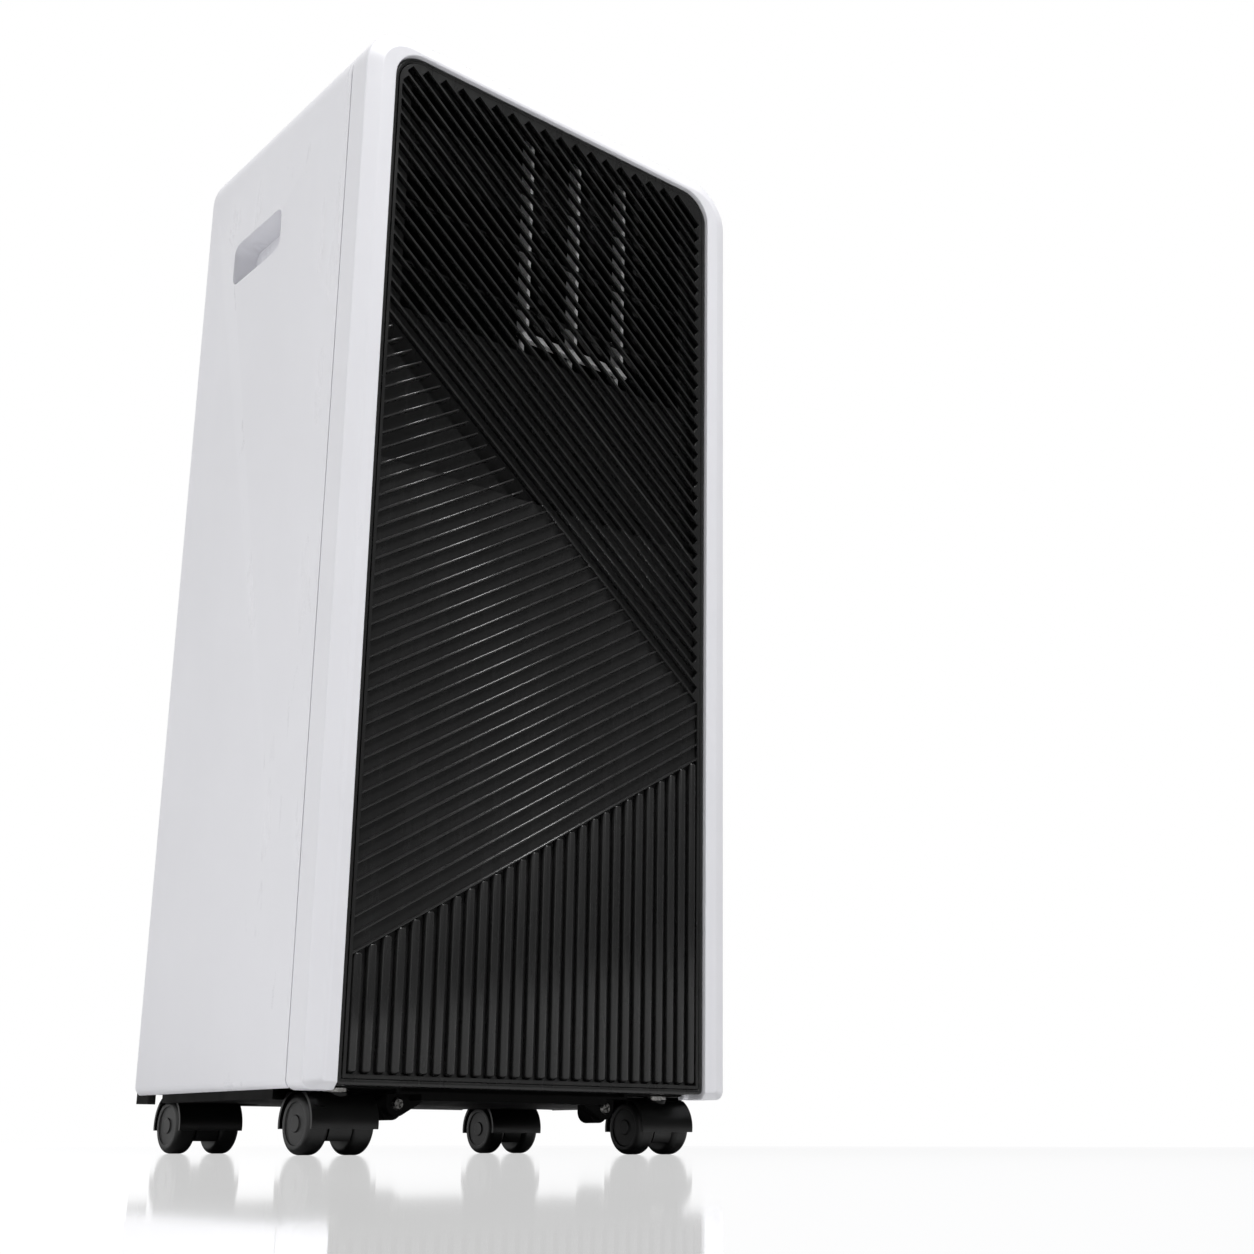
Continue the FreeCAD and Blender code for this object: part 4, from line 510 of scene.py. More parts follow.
@dataclass(frozen=True)
class Finish:
    """A procedural finish: colour with drift and specks, uneven gloss, grain, and wear with a painted
    highlight along edges.
    """

    name: str
    colour: tuple[float, float, float, float]
    surface: Surface = Surface.SATIN_MOULDING
    roughness: float = 0.4
    metal: float = 0.0
    drift: float = 0.06
    grain_size: float = 0.35 * MM
    grain: float = 0.12
    edge_wear_and_highlight: float = 0.25
    coat: float = 0.0
    specular: float = 0.5

    def material(self) -> bpy.types.Material:
        """Makes the material, or returns the one already made.

        Returns:
            The material of this finish.
        """
        title = f"{self.name}_finish"
        found = bpy.data.materials.get(title)
        if found:
            return found
        made = bpy.data.materials.new(title)
        made.use_nodes = True
        g = Graph(made.node_tree)
        where = g.add("ShaderNodeTexCoord").outputs["Object"]
        colour, rough, height, distance = self.pattern(g, where)
        relief = {"Strength": self.grain, "Distance": distance, "Height": height}
        bump = g.add("ShaderNodeBump", relief).outputs[0]
        shader = g.add("ShaderNodeBsdfPrincipled", {
            "Base Color": colour, "Metallic": self.metal, "Roughness": rough, "Normal": bump,
            "Coat Weight": self.coat, "Coat Roughness": 0.12, "Specular IOR Level": self.specular})
        g.add("ShaderNodeOutputMaterial", {0: shader.outputs[0]})
        return made

    def noise(self, g: Graph, where: Any, size: float, detail: float = 3.0) -> Any:
        """Noise whose features are about one size, in metres."""
        return g.add("ShaderNodeTexNoise", {"Vector": where, "Scale": 1 / size, "Detail": detail}).outputs[0]

    def ramp(self, g: Graph, value: Any, low: float, high: float, out_low: float, out_high: float) -> Any:
        """Maps a range of a value onto another, held at both ends."""
        node = g.add("ShaderNodeMapRange", {0: value, 1: low, 2: high, 3: out_low, 4: out_high})
        return node.outputs[0]

    def pattern(self, g: Graph, where: Any) -> tuple[Any, Any, Any, float]:
        """The finish's colour, roughness, relief and how deep that relief is.

        Args:
            g: The material's graph.
            where: Object coordinates.

        Returns:
            Colour, roughness and height sockets, and the relief's depth in metres.
        """
        broad = self.noise(g, where, BROAD_DRIFT, 2.0)
        fine = self.noise(g, where, self.grain_size, 4.0)
        smears = self.noise(g, self.stretched(g, where), SMEAR, 5.0)
        base = self.tinted(g, self.colour[:3], self.ramp(g, broad, 0.3, 0.7, 1 - self.drift, 1 + self.drift))
        rough = self.ramp(g, smears, 0.35, 0.7, self.roughness - 0.05, self.roughness + 0.07)
        height, depth = fine, 0.08 * MM
        if self.surface is Surface.SPARK_TEXTURE:
            height = g.math("ADD", fine, g.math("MULTIPLY", self.noise(g, where, 1.1 * MM, 2.0), 0.6))
            base = self.tinted(g, base, self.ramp(g, fine, 0.35, 0.7, 0.9, 1.12))
        elif self.surface is Surface.BRUSHED_METAL:
            height = self.noise(g, self.stretched(g, where, 30.0), 3 * MM, 3.0)
            rough = g.math("ADD", rough, self.ramp(g, height, 0.3, 0.7, -0.06, 0.08))
        elif self.surface is Surface.CAST_METAL:
            height = g.math("ADD", fine, g.math("MULTIPLY", self.noise(g, where, 4 * MM, 3.0), 2.0))
            depth = 0.2 * MM
        elif self.surface is Surface.FOIL_FINS:
            fins = {"Vector": where, "Scale": WAVES / FIN_PITCH, "Distortion": 0.4, "Detail": 1.0}
            wave = g.add("ShaderNodeTexWave", fins, bands_direction="X")
            height, depth = wave.outputs[1], 0.5 * MM
            # the base colour is darkened between the fins: painted shade in the gaps between them
            base = self.tinted(g, base, self.ramp(g, wave.outputs[1], 0.1, 0.9, 0.35, 1.1))
        elif self.surface is Surface.WOVEN_NET:
            net = {"Vector": where, "Scale": WAVES / THREAD_PITCH}
            threads = [g.add("ShaderNodeTexWave", net, bands_direction=way).outputs[1] for way in "XZ"]
            height, depth = g.math("MAXIMUM", *threads), 0.4 * MM
            # the base colour is darkened in the openings between threads: painted shade seen through the net
            base = self.tinted(g, base, self.ramp(g, height, 0.55, 0.95, 0.12, 1.0))
        if self.edge_wear_and_highlight:
            # convex edges and rib crests are lightened in the base colour: partly wear, partly a painted
            # highlight along the crests
            edges = self.worn_and_highlit_edges(g, fine)
            base = self.tinted(g, base, self.ramp(g, edges, 0.0, 1.0, 1.0, 1.0 + self.edge_wear_and_highlight))
            rough = g.math("SUBTRACT", rough, g.math("MULTIPLY", edges, 0.06))
        return base, rough, height, depth

    def stretched(self, g: Graph, where: Any, by: float = 4.0) -> Any:
        """Coordinates squeezed so that marks run upright."""
        return g.add("ShaderNodeMapping", {0: where, "Scale": (1.0, 1.0, 1.0 / by)}).outputs[0]

    def tinted(self, g: Graph, colour: Any, factor: Any) -> Any:
        """A colour times a factor."""
        return g.scale(colour, factor)

    def worn_and_highlit_edges(self, g: Graph, fine: Any) -> Any:
        """Painted highlight and wear: brighter where the surface turns sharply outwards, broken up by the
        grain.

        Args:
            g: The material's graph.
            fine: The grain.

        Returns:
            How worn the surface is, from 0 to 1.
        """
        pointiness = g.add("ShaderNodeNewGeometry").outputs["Pointiness"]
        sharp = self.ramp(g, pointiness, 0.52, 0.62, 0.0, 1.0)
        return g.math("MULTIPLY", sharp, self.ramp(g, fine, 0.3, 0.6, 0.4, 1.0))


COOL_WHITE = (0.985, 0.985, 1.03)
WARM_METAL = (1.02, 1.0, 0.97)
FINISHES: dict[str, Finish] = {f.name: f for f in (
    Finish("casing_white", grey(231, COOL_WHITE), roughness=0.36, drift=0.012, grain=0.1, edge_wear_and_highlight=0.03),
    Finish("cover_white", grey(224, COOL_WHITE), Surface.SPARK_TEXTURE, 0.45, drift=0.015, grain=0.1,
           edge_wear_and_highlight=0.03),
    Finish("panel_black", grey(32), Surface.SPARK_TEXTURE, 0.3, drift=0.06, grain=0.1, edge_wear_and_highlight=0.5,
           specular=0.4),
    Finish("base_black", grey(12), Surface.SPARK_TEXTURE, 0.6, drift=0.08, grain=0.25, specular=0.05),
    Finish("collar_grey", grey(70), Surface.SPARK_TEXTURE, 0.45, grain=0.2),
    Finish("filter_net", grey(60), Surface.WOVEN_NET, 0.6, grain=0.5, edge_wear_and_highlight=0.0),
    Finish("rubber_black", grey(20), Surface.RUBBER, 0.7, grain=0.3),
    Finish("control_black", grey(22), roughness=0.22, grain=0.08, edge_wear_and_highlight=0.3, coat=0.3),
    Finish("display_glass", grey(12), Surface.SMOKED_GLASS, 0.06, grain=0.01, edge_wear_and_highlight=0.0, coat=1.0),
    Finish("board_green", (0.02, 0.12, 0.05, 1.0), roughness=0.35, grain=0.2),
    Finish("duct_black", grey(8), Surface.SPARK_TEXTURE, 0.6, grain=0.2, specular=0.2),
    Finish("vane_grey", grey(235), Surface.SPARK_TEXTURE, 0.4, grain=0.12),
    Finish("sheet_steel", grey(150, WARM_METAL), Surface.BRUSHED_METAL, 0.38, 1.0, grain=0.2),
    Finish("motor_steel", grey(130, WARM_METAL), Surface.CAST_METAL, 0.42, 1.0, grain=0.2),
    Finish("fan_black", grey(24), roughness=0.45, grain=0.2),
    Finish("deck_grey", grey(140), roughness=0.5, grain=0.2),
    Finish("coil_aluminium", grey(190), Surface.FOIL_FINS, 0.35, 0.9, grain=0.8, edge_wear_and_highlight=0.0),
    Finish("compressor_paint", grey(28), Surface.CAST_METAL, 0.4, grain=0.35),
    Finish("copper", (0.62, 0.26, 0.14, 1.0), Surface.BRUSHED_METAL, 0.28, 1.0, drift=0.12, grain=0.2),
    Finish("bright_steel", grey(185, WARM_METAL), Surface.BRUSHED_METAL, 0.24, 1.0, grain=0.15),
    Finish("screw_steel", grey(118, WARM_METAL), Surface.BRUSHED_METAL, 0.34, 1.0, grain=0.15, edge_wear_and_highlight=0.2),
    Finish("button_grey", grey(150), roughness=0.35, grain=0.12),
    Finish("caster_black", grey(12), Surface.SPARK_TEXTURE, 0.34, drift=0.08, grain=0.15, edge_wear_and_highlight=0.5,
           specular=0.4),
    Finish("caster_tread", grey(13), Surface.RUBBER, 0.4, drift=0.1, grain=0.2, edge_wear_and_highlight=0.4, specular=0.4),
)}


# ---- mesh helpers ---------------------------------------------------------------
def keep_side(polygon: Loop, normal: Point2, limit: float) -> Loop:
    """Part of a convex polygon where normal . point <= limit.

    Args:
        polygon: The polygon.
        normal: Direction of the cut.
        limit: How far along that direction the cut stands.

    Returns:
        The part that is kept.
    """
    kept: Loop = []
    for a, b in zip(polygon, polygon[1:] + polygon[:1]):
        side_a = normal[0] * a[0] + normal[1] * a[1] - limit
        side_b = normal[0] * b[0] + normal[1] * b[1] - limit
        if side_a <= 0:
            kept.append(a)
        if side_a * side_b < 0:
            share = side_a / (side_a - side_b)
            kept.append((a[0] + share * (b[0] - a[0]), a[1] + share * (b[1] - a[1])))
    return kept


def flipped(normal: Point2) -> Point2:
    """The opposite direction."""
    return (-normal[0], -normal[1])


def arch_loop(half_w: float, foot: float, top: float, top_r: float, foot_r: float, steps: int = 10) -> Loop:
    """Upright outline with large rounded top corners and small lower ones, counterclockwise from the right.

    Args:
        half_w: Half the width.
        foot: Height of the lower edge.
        top: Height of the upper edge.
        top_r: Radius of the top corners.
        foot_r: Radius of the lower corners.
        steps: Spans in each corner.

    Returns:
        The outline's points.
    """
    centres = ((half_w - top_r, top - top_r, top_r), (top_r - half_w, top - top_r, top_r),
               (foot_r - half_w, foot + foot_r, foot_r), (half_w - foot_r, foot + foot_r, foot_r))
    loop: Loop = []
    for quarter, (x, z, radius) in enumerate(centres):
        for k in range(steps + 1):
            angle = math.pi / 2 * (quarter + k / steps)
            loop.append((x + radius * math.cos(angle), z + radius * math.sin(angle)))
    return loop


def loops_mesh(loops: Sequence[Loop], field_loop: Loop | None = None) -> bpy.types.Mesh:
    """Closed outlines in the XY plane as loose edges; the field's own outline is flagged.

    Args:
        loops: Outlines of the land and of the holes in it.
        field_loop: Outline that the ribs or slots run between.

    Returns:
        A mesh of edges with the boolean edge attribute field_edge.
    """
    points: list[tuple[float, float, float]] = []
    edges: list[tuple[int, int]] = []
    flags: list[bool] = []
    for loop, flag in [(loop, False) for loop in loops] + ([(field_loop, True)] if field_loop else []):
        start, count = len(points), len(loop)
        points += [(x, z, 0.0) for x, z in loop]
        edges += [(start + k, start + (k + 1) % count) for k in range(count)]
        flags += [flag] * count
    mesh = bpy.data.meshes.new("loops")
    mesh.from_pydata(points, edges, [])
    mesh.attributes.new("field_edge", "BOOLEAN", "EDGE").data.foreach_set("value", flags)
    return mesh


def prism_mesh(polygon: Loop, back: float, front: float) -> bpy.types.Mesh:
    """Closed slab of a convex polygon in the XY plane.

    Args:
        polygon: The outline, counterclockwise.
        back: Height of the lower face.
        front: Height of the upper face.

    Returns:
        The slab's mesh.
    """
    count = len(polygon)
    points = [(x, z, back) for x, z in polygon] + [(x, z, front) for x, z in polygon]
    faces = [tuple(range(count - 1, -1, -1)), tuple(range(count, 2 * count))]
    faces += [(k, (k + 1) % count, (k + 1) % count + count, k + count) for k in range(count)]
    mesh = bpy.data.meshes.new("prism")
    mesh.from_pydata(points, [], faces)
    return mesh


def swept_mesh(rings: Sequence[Loop], levels: Sequence[float]) -> bpy.types.Mesh:
    """Closed band: outlines joined one to the next, and the last back to the first.

    Args:
        rings: Outlines with the same number of points.
        levels: Each outline's height.

    Returns:
        The band's mesh.
    """
    count, turns = len(rings[0]), len(rings)
    points = [(x, z, level) for ring, level in zip(rings, levels) for x, z in ring]
    faces = []
    for r in range(turns):
        following = (r + 1) % turns
        faces += [(r * count + k, r * count + (k + 1) % count, following * count + (k + 1) % count,
                   following * count + k) for k in range(count)]
    mesh = bpy.data.meshes.new("band")
    mesh.from_pydata(points, [], faces)
    return mesh


def recalculated(mesh: bpy.types.Mesh) -> bpy.types.Mesh:
    """Merges doubles and turns every face outwards.

    Args:
        mesh: The mesh to change.

    Returns:
        The same mesh.
    """
    bm = bmesh.new()
    bm.from_mesh(mesh)
    bmesh.ops.remove_doubles(bm, verts=bm.verts, dist=SAME_POINT)
    bmesh.ops.recalc_face_normals(bm, faces=bm.faces)
    bm.to_mesh(mesh)
    bm.free()
    return mesh


def cut_level(mesh: bpy.types.Mesh, level: float, keep_above: bool) -> bpy.types.Mesh:
    """Cuts a closed mesh at a level of Y and closes the cut.

    Args:
        mesh: The mesh to change.
        level: Where the cut stands.
        keep_above: Keeps the side above the cut, not the one below.

    Returns:
        The same mesh.
    """
    bm = bmesh.new()
    bm.from_mesh(mesh)
    everything = bm.verts[:] + bm.edges[:] + bm.faces[:]
    cut = bmesh.ops.bisect_plane(bm, geom=everything, plane_co=(0, level, 0), plane_no=(0, 1, 0),
                                 clear_inner=keep_above, clear_outer=not keep_above)
    rim = [e for e in cut["geom_cut"] if isinstance(e, bmesh.types.BMEdge)]
    bmesh.ops.edgeloop_fill(bm, edges=rim)
    bmesh.ops.recalc_face_normals(bm, faces=bm.faces)
    bm.to_mesh(mesh)
    bm.free()
    return mesh


def merged(*meshes: bpy.types.Mesh) -> bpy.types.Mesh:
    """Several meshes as one.

    Args:
        meshes: The meshes.

    Returns:
        A new mesh.
    """
    bm = bmesh.new()
    for mesh in meshes:
        bm.from_mesh(mesh)
    whole = bpy.data.meshes.new("merged")
    bm.to_mesh(whole)
    bm.free()
    return whole


def stand_up(mesh: bpy.types.Mesh, front_y: float) -> bpy.types.Mesh:
    """Turns a mesh drawn in the XY plane upright, with its Z towards the front and 0 at front_y."""
    mesh.transform(Matrix.Translation((0, front_y, 0)) @ Matrix.Rotation(math.pi / 2, 4, "X"))
    return mesh


class Piece:
    """One visible piece: its mesh, finish and place among the moving bodies."""

    def __init__(self, name: str, mesh: bpy.types.Mesh, slot: str, body: str = "cabinet",
                 stands_for: Sequence[str] = ()) -> None:
        """Args:
            name: The piece's name.
            mesh: Its mesh, in its final place.
            slot: The material slot, which is also the finish's name.
            body: The CAD body that it moves with.
            stands_for: The CAD nodes that it replaces.
        """
        self.object = bpy.data.objects.new(name, mesh)
        mesh.name = name
        bpy.context.scene.collection.objects.link(self.object)
        mesh.materials.clear()
        mesh.materials.append(FINISHES[slot].material())
        mesh.polygons.foreach_set("material_index", [0] * len(mesh.polygons))
        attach(self.object, body)
        if stands_for:
            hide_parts(*stands_for)
        log.info("%s: %d faces on %s", name, len(mesh.polygons), body)

    def shaded(self, angle: float = 35.0) -> "Piece":
        """Smooth shading with edges kept sharp above an angle.

        Args:
            angle: The angle in degrees.

        Returns:
            The same piece.
        """
        mesh = self.object.data
        mesh.shade_smooth()
        mesh.set_sharp_from_angle(angle=math.radians(angle))
        return self

    def rounded(self, width: float, segments: int = 2, by_weight: bool = False,
                angle: float = 35.0) -> "Piece":
        """Rounds edges with a live Bevel, and evens the shading round them.

        Args:
            width: How far the rounding reaches on each face.
            segments: Spans across the rounding.
            by_weight: Rounds the edges that the mesh marks, not all sharp ones.
            angle: Sharpest angle that is left alone.

        Returns:
            The same piece.
        """
        self.object.data.shade_smooth()
        bevel = self.object.modifiers.new("rounded_edges", "BEVEL")
        bevel.width, bevel.segments = width, segments
        bevel.limit_method = "WEIGHT" if by_weight else "ANGLE"
        bevel.angle_limit = math.radians(angle)
        bevel.use_clamp_overlap = True
        bevel.harden_normals = False
        weigh = self.object.modifiers.new("even_shading", "WEIGHTED_NORMAL")
        weigh.keep_sharp = True
        return self


CAD_JOIN = 2e-6     # corners of the CAD triangles closer than this are one


def merged_copy(node: str, flat: float = 0.6) -> bpy.types.Mesh:
    """A CAD node's mesh with its loose triangles merged and its flat faces whole.

    Args:
        node: The CAD node.
        flat: Angle in degrees below which neighbouring faces become one.

    Returns:
        A new mesh; the node's own is left alone.
    """
    mesh = frame["nodes"][node].data.copy()
    bm = bmesh.new()
    bm.from_mesh(mesh)
    bmesh.ops.remove_doubles(bm, verts=bm.verts, dist=CAD_JOIN)
    bmesh.ops.dissolve_limit(bm, angle_limit=math.radians(flat), verts=bm.verts, edges=bm.edges,
                             delimit={"NORMAL"})
    bm.to_mesh(mesh)
    bm.free()
    if "custom_normal" in mesh.attributes:
        mesh.attributes.remove(mesh.attributes["custom_normal"])
    return mesh


def body_of(node: str) -> str:
    """The CAD body that a node belongs to."""
    return frame["nodes"][node]["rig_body"]


def soften(node: str, slot: str, width: float = 0.4 * MM, segments: int = 2,
           angle: float = 35.0) -> Piece:
    """Replaces a CAD node by a copy with moulded, rounded edges."""
    piece = Piece(f"{node}_finished", merged_copy(node), slot, body_of(node), (node,))
    return piece.rounded(width, segments, angle=angle)


# ---- front panels ---------------------------------------------------------------
@dataclass
class FrontPanels:
    """The two black ribbed panels: an open grille over a closed one, with three fields of ribs."""

    corner_r: float = 21 * MM
    foot_corner_r: float = 3 * MM
    least_corner_r: float = 0.6 * MM
    band_w: float = 3.0 * MM
    band_gap: float = 0.5 * MM
    rim: float = 5.5 * MM
    depth: float = 14 * MM
    diagonal_angle: float = -39.0
    diagonal_drop: float = 194.4 * MM
    diagonal_pitch: float = 8.3 * MM
    diagonal_rib: float = 1.5 * MM
    blade_depth: float = 3.8 * MM
    wedge_angle: float = 30.8
    wedge_rise: float = 72.5 * MM
    wedge_pitch: float = 8.6 * MM
    wedge_rib: float = 1.8 * MM
    shadow_slot: float = 14 * MM
    tip_gap: float = 5 * MM
    upright_pitch: float = 9 * MM
    upright_first: float = 5 * MM
    upright_rib: float = 5.8 * MM
    window_half_w: float = 113 * MM
    window_foot: float = 510 * MM
    window_top: float = 669 * MM
    tie_levels: tuple[float, float] = (541 * MM, 43 * MM)
    window_wall: float = 2 * MM
    band_shoulder: float = 0.7 * MM
    blade_edge: float = 0.42 * MM
    overlap: float = 25 * MM
    tie_size: tuple[float, float] = (1.4 * MM, 2.8 * MM)
    floor_depths: dict[str, float] = field(default_factory=lambda: {
        "upper": 9 * MM, "lower": 4 * MM, "wedge_upper": 4 * MM, "wedge_lower": 2.4 * MM,
        "upright": 4.5 * MM})

    def __post_init__(self) -> None:
        """Takes the panels' place from the CAD frame."""
        low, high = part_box("lower_panel")[0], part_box("upper_grille")[1]
        self.half_w, self.foot, self.top, self.crest_y = high.x, low.z, high.z, low.y
        self.parting = (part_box("lower_panel")[1].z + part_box("upper_grille")[0].z) / 2
        self.half_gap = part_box("upper_grille")[0].z - self.parting
        casing_low, casing_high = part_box("main_shell")
        self.field_half = self.half_w - self.rim
        self.field_foot, self.field_top = self.foot + self.rim, self.top - self.rim
        self.diagonal_normal = self.normal(self.diagonal_angle)
        self.wedge_normal = self.normal(self.wedge_angle)
        diagonal_z = casing_high.z - self.diagonal_drop
        self.diagonal_first = self.level(self.diagonal_normal, -self.field_half, diagonal_z)
        self.wedge_first = self.level(self.wedge_normal, -self.field_half, casing_low.z + self.wedge_rise)

    @staticmethod
    def normal(angle: float) -> Point2:
        """Direction across ribs that run at an angle, in degrees."""
        return (-math.sin(math.radians(angle)), math.cos(math.radians(angle)))

    @staticmethod
    def level(normal: Point2, x: float, z: float) -> float:
        """How far a point lies along a direction."""
        return normal[0] * x + normal[1] * z

    def field_between(self, low: float, high: float, spread: float = 0.0) -> Loop:
        """Ribbed field between two heights, cut back at the rounded corners.

        Args:
            low: The lower height.
            high: The upper height.
            spread: How far it reaches under the rim.

        Returns:
            The convex outline.
        """
        half = self.field_half + spread
        loop = [(-half, low), (half, low), (half, high), (-half, high)]
        slope = math.sqrt(0.5)
        limit = slope * (self.half_w + self.top - 2 * self.corner_r) + self.corner_r - self.rim + spread
        return keep_side(keep_side(loop, (slope, slope), limit), (-slope, slope), limit)

    def outline(self, inset: float) -> Loop:
        """The panels' common outline, moved inwards.

        Args:
            inset: How far inwards.

        Returns:
            The outline's points.
        """
        foot_r = max(self.foot_corner_r - inset, self.least_corner_r)
        top_r = self.corner_r - inset
        return arch_loop(self.half_w - inset, self.foot + inset, self.top - inset, top_r, foot_r)

    def cut(self, mesh: bpy.types.Mesh, upper: bool) -> bpy.types.Mesh:
        """Keeps the part of a mesh that belongs to the upper or lower panel."""
        level = self.parting + (self.half_gap if upper else -self.half_gap)
        return cut_level(mesh, level, upper)

    def below_diagonal(self, loop: Loop, gap: float) -> Loop:
        """The part of a field under the first diagonal rib."""
        return keep_side(loop, self.diagonal_normal, self.diagonal_first - gap)

    @staticmethod
    def finish() -> bpy.types.Material:
        """The panels' material."""
        return FINISHES["panel_black"].material()

    def land(self, upper: bool) -> bpy.types.Mesh:
        """Rim, diagonal blades and the three-cornered lands, in one moulding.

        Args:
            upper: The grille, not the lower panel.

        Returns:
            The moulding's mesh.
        """
        low = self.parting - self.overlap if upper else self.field_foot
        high = self.field_top if upper else self.parting + self.overlap
        zone = self.field_between(low, high)
        hole = self.below_diagonal(zone, self.diagonal_rib / 2)
        count = int(2 * self.top / self.diagonal_pitch)
        depth = self.blade_depth if upper else self.floor_depths["lower"] + MM
        sizes = {"Angle": math.radians(self.diagonal_angle), "Pitch": self.diagonal_pitch,
                 "First": self.diagonal_first, "Count": count, "Rib": self.diagonal_rib, "Depth": depth}
        outer = self.outline(self.band_w + self.band_gap)
        mesh = grow(Trees.slotted_land, loops_mesh([outer, hole], zone), sizes, self.finish())
        return self.cut(mesh, upper)

    def plate(self, upper: bool) -> bpy.types.Mesh:
        """Floor behind the blades; the upper one has the outlet window in it.

        Args:
            upper: The grille, not the lower panel.

        Returns:
            The floor's mesh.
        """
        half, foot, top = self.window_half_w, self.window_foot, self.window_top
        window = [(-half, foot), (half, foot), (half, top), (-half, top)]
        loops = [self.outline(self.band_w / 2)] + ([window] if upper else [])
        front = -self.floor_depths["upper" if upper else "upright"]
        clear_of_field = 9.0
        sizes = {"Count": 0, "Depth": self.window_wall, "Front": front, "First": clear_of_field}
        mesh = grow(Trees.slotted_land, loops_mesh(loops, window), sizes, self.finish())
        return self.cut(mesh, upper)

    def band(self, upper: bool) -> bpy.types.Mesh:
        """Raised outer band with rounded shoulders, and the panel's side wall.

        Args:
            upper: The grille, not the lower panel.

        Returns:
            The band's mesh.
        """
        r = self.band_shoulder
        profile = [(0.0, -self.depth), (0.0, -r), (0.3 * r, -0.3 * r), (r, 0.0), (self.band_w - r, 0.0),
                   (self.band_w - 0.3 * r, -0.3 * r), (self.band_w, -r), (self.band_w, -self.depth)]
        mesh = swept_mesh([self.outline(inset) for inset, _ in profile], [level for _, level in profile])
        return self.cut(recalculated(mesh), upper)

    def ribs(self, zone: Loop, sizes: dict[str, Any]) -> bpy.types.Mesh:
        """Free-standing ribs across a field."""
        return grow(Trees.moulded_ribs, loops_mesh([], zone), sizes, self.finish())

    def wedge_sizes(self) -> dict[str, Any]:
        """Sizes that both fields of wedge ribs share."""
        return {"Angle": math.radians(self.wedge_angle), "Pitch": self.wedge_pitch, "First": self.wedge_first,
                "Count": 60, "Width": self.wedge_rib}

    def lower_ribs(self) -> bpy.types.Mesh:
        """Wedge ribs and upright ribs of the lower panel.

        Returns:
            Both as one mesh.
        """
        zone = self.field_between(self.field_foot, self.parting - self.half_gap)
        wedge = self.below_diagonal(zone, self.diagonal_rib / 2)
        depth = self.floor_depths["wedge_lower"]
        beads = self.ribs(wedge, {
            **self.wedge_sizes(), "Height": depth, "Root": 2.5 * MM, "Start Overlap": 1.0 * MM,
            "End Overlap": 0.8 * MM, "End Radius": 0.6 * MM, "Squareness": 2.3})
        beads = self.cut(beads, False)
        foot_zone = keep_side(zone, self.wedge_normal, self.wedge_first - self.wedge_rib / 2)
        pitch = self.upright_pitch
        count = int(2 * self.field_half / pitch) + 1
        first = self.upright_first - pitch * math.floor((self.upright_first + self.field_half) / pitch)
        uprights = self.ribs(foot_zone, {
            "Angle": -math.pi / 2, "Pitch": pitch, "First": first, "Count": count,
            "Width": self.upright_rib, "Height": self.floor_depths["upright"], "Root": 1.0 * MM,
            "Start Overlap": 0.6 * MM, "End Overlap": -0.3 * MM, "End Radius": 2.6 * MM, "Squareness": 4.5})
        return merged(beads, uprights)

    def upper_ribs(self) -> bpy.types.Mesh:
        """Wedge ribs of the grille, whose free tips stand over the shadow slot.

        Returns:
            The ribs' mesh.
        """
        zone = self.field_between(self.parting - self.overlap, self.field_top)
        wedge = self.below_diagonal(zone, self.tip_gap)
        height = self.floor_depths["wedge_upper"]
        beads = self.ribs(wedge, {
            **self.wedge_sizes(), "Height": height, "Root": self.floor_depths["upper"] - height,
            "Start Overlap": 1.0 * MM, "End Overlap": 0.0, "End Radius": 1.0 * MM, "Squareness": 2.6,
            "Shortest": 1.5 * MM})
        return self.cut(beads, True)

    def floors(self, upper: bool) -> bpy.types.Mesh:
        """Raised floors between the ribs.

        Args:
            upper: The grille, not the lower panel.

        Returns:
            The floors' mesh.
        """
        under, sunk = 1.5 * MM, 0.5 * MM
        if upper:
            zone = self.field_between(self.parting + self.half_gap, self.field_top, under)
            raised = self.below_diagonal(zone, self.shadow_slot)
            return prism_mesh(raised, -self.floor_depths["upper"] - sunk, -self.floor_depths["wedge_upper"])
        zone = self.field_between(self.field_foot - under, self.parting - self.half_gap, under)
        wedge = keep_side(self.below_diagonal(zone, 0.0), flipped(self.wedge_normal), -self.wedge_first)
        corner = keep_side(zone, flipped(self.diagonal_normal), -self.diagonal_first)
        base = -self.floor_depths["upright"] - sunk
        return merged(prism_mesh(wedge, base, -self.floor_depths["wedge_lower"]),
                      prism_mesh(corner, base, -self.floor_depths["lower"]))

    def ties(self) -> bpy.types.Mesh:
        """Level bars behind the blades, across the window.

        Returns:
            The bars' mesh.
        """
        lowest, pitch = self.tie_levels
        length = 2 * (self.window_half_w + self.window_wall)
        sizes = {"Size": Vector((length, *self.tie_size)), "Count": 3,
                 "Start": Vector((0, lowest, -self.floor_depths["upper"])), "Step": Vector((0, pitch, 0))}
        return grow(Trees.bar_row, None, sizes, self.finish())

    def build(self) -> list[Piece]:
        """Makes both panels.

        Returns:
            Their pieces.
        """
        pieces = []
        for upper, node in ((True, "upper_grille"), (False, "lower_panel")):
            land = stand_up(self.land(upper), self.crest_y)
            blades = Piece(f"{node}_blades", land, "panel_black", stands_for=(node,))
            pieces.append(blades.rounded(self.blade_edge, 2, True))
            ribs = stand_up(self.upper_ribs() if upper else self.lower_ribs(), self.crest_y)
            pieces.append(Piece(f"{node}_ribs", ribs, "panel_black").shaded(60))
            parts = [self.plate(upper), self.floors(upper)] + ([self.ties()] if upper else [])
            floor = stand_up(merged(*parts), self.crest_y)
            pieces.append(Piece(f"{node}_floor", floor, "panel_black").shaded())
            rim = stand_up(self.band(upper), self.crest_y)
            pieces.append(Piece(f"{node}_rim", rim, "panel_black").shaded(50))
        return pieces


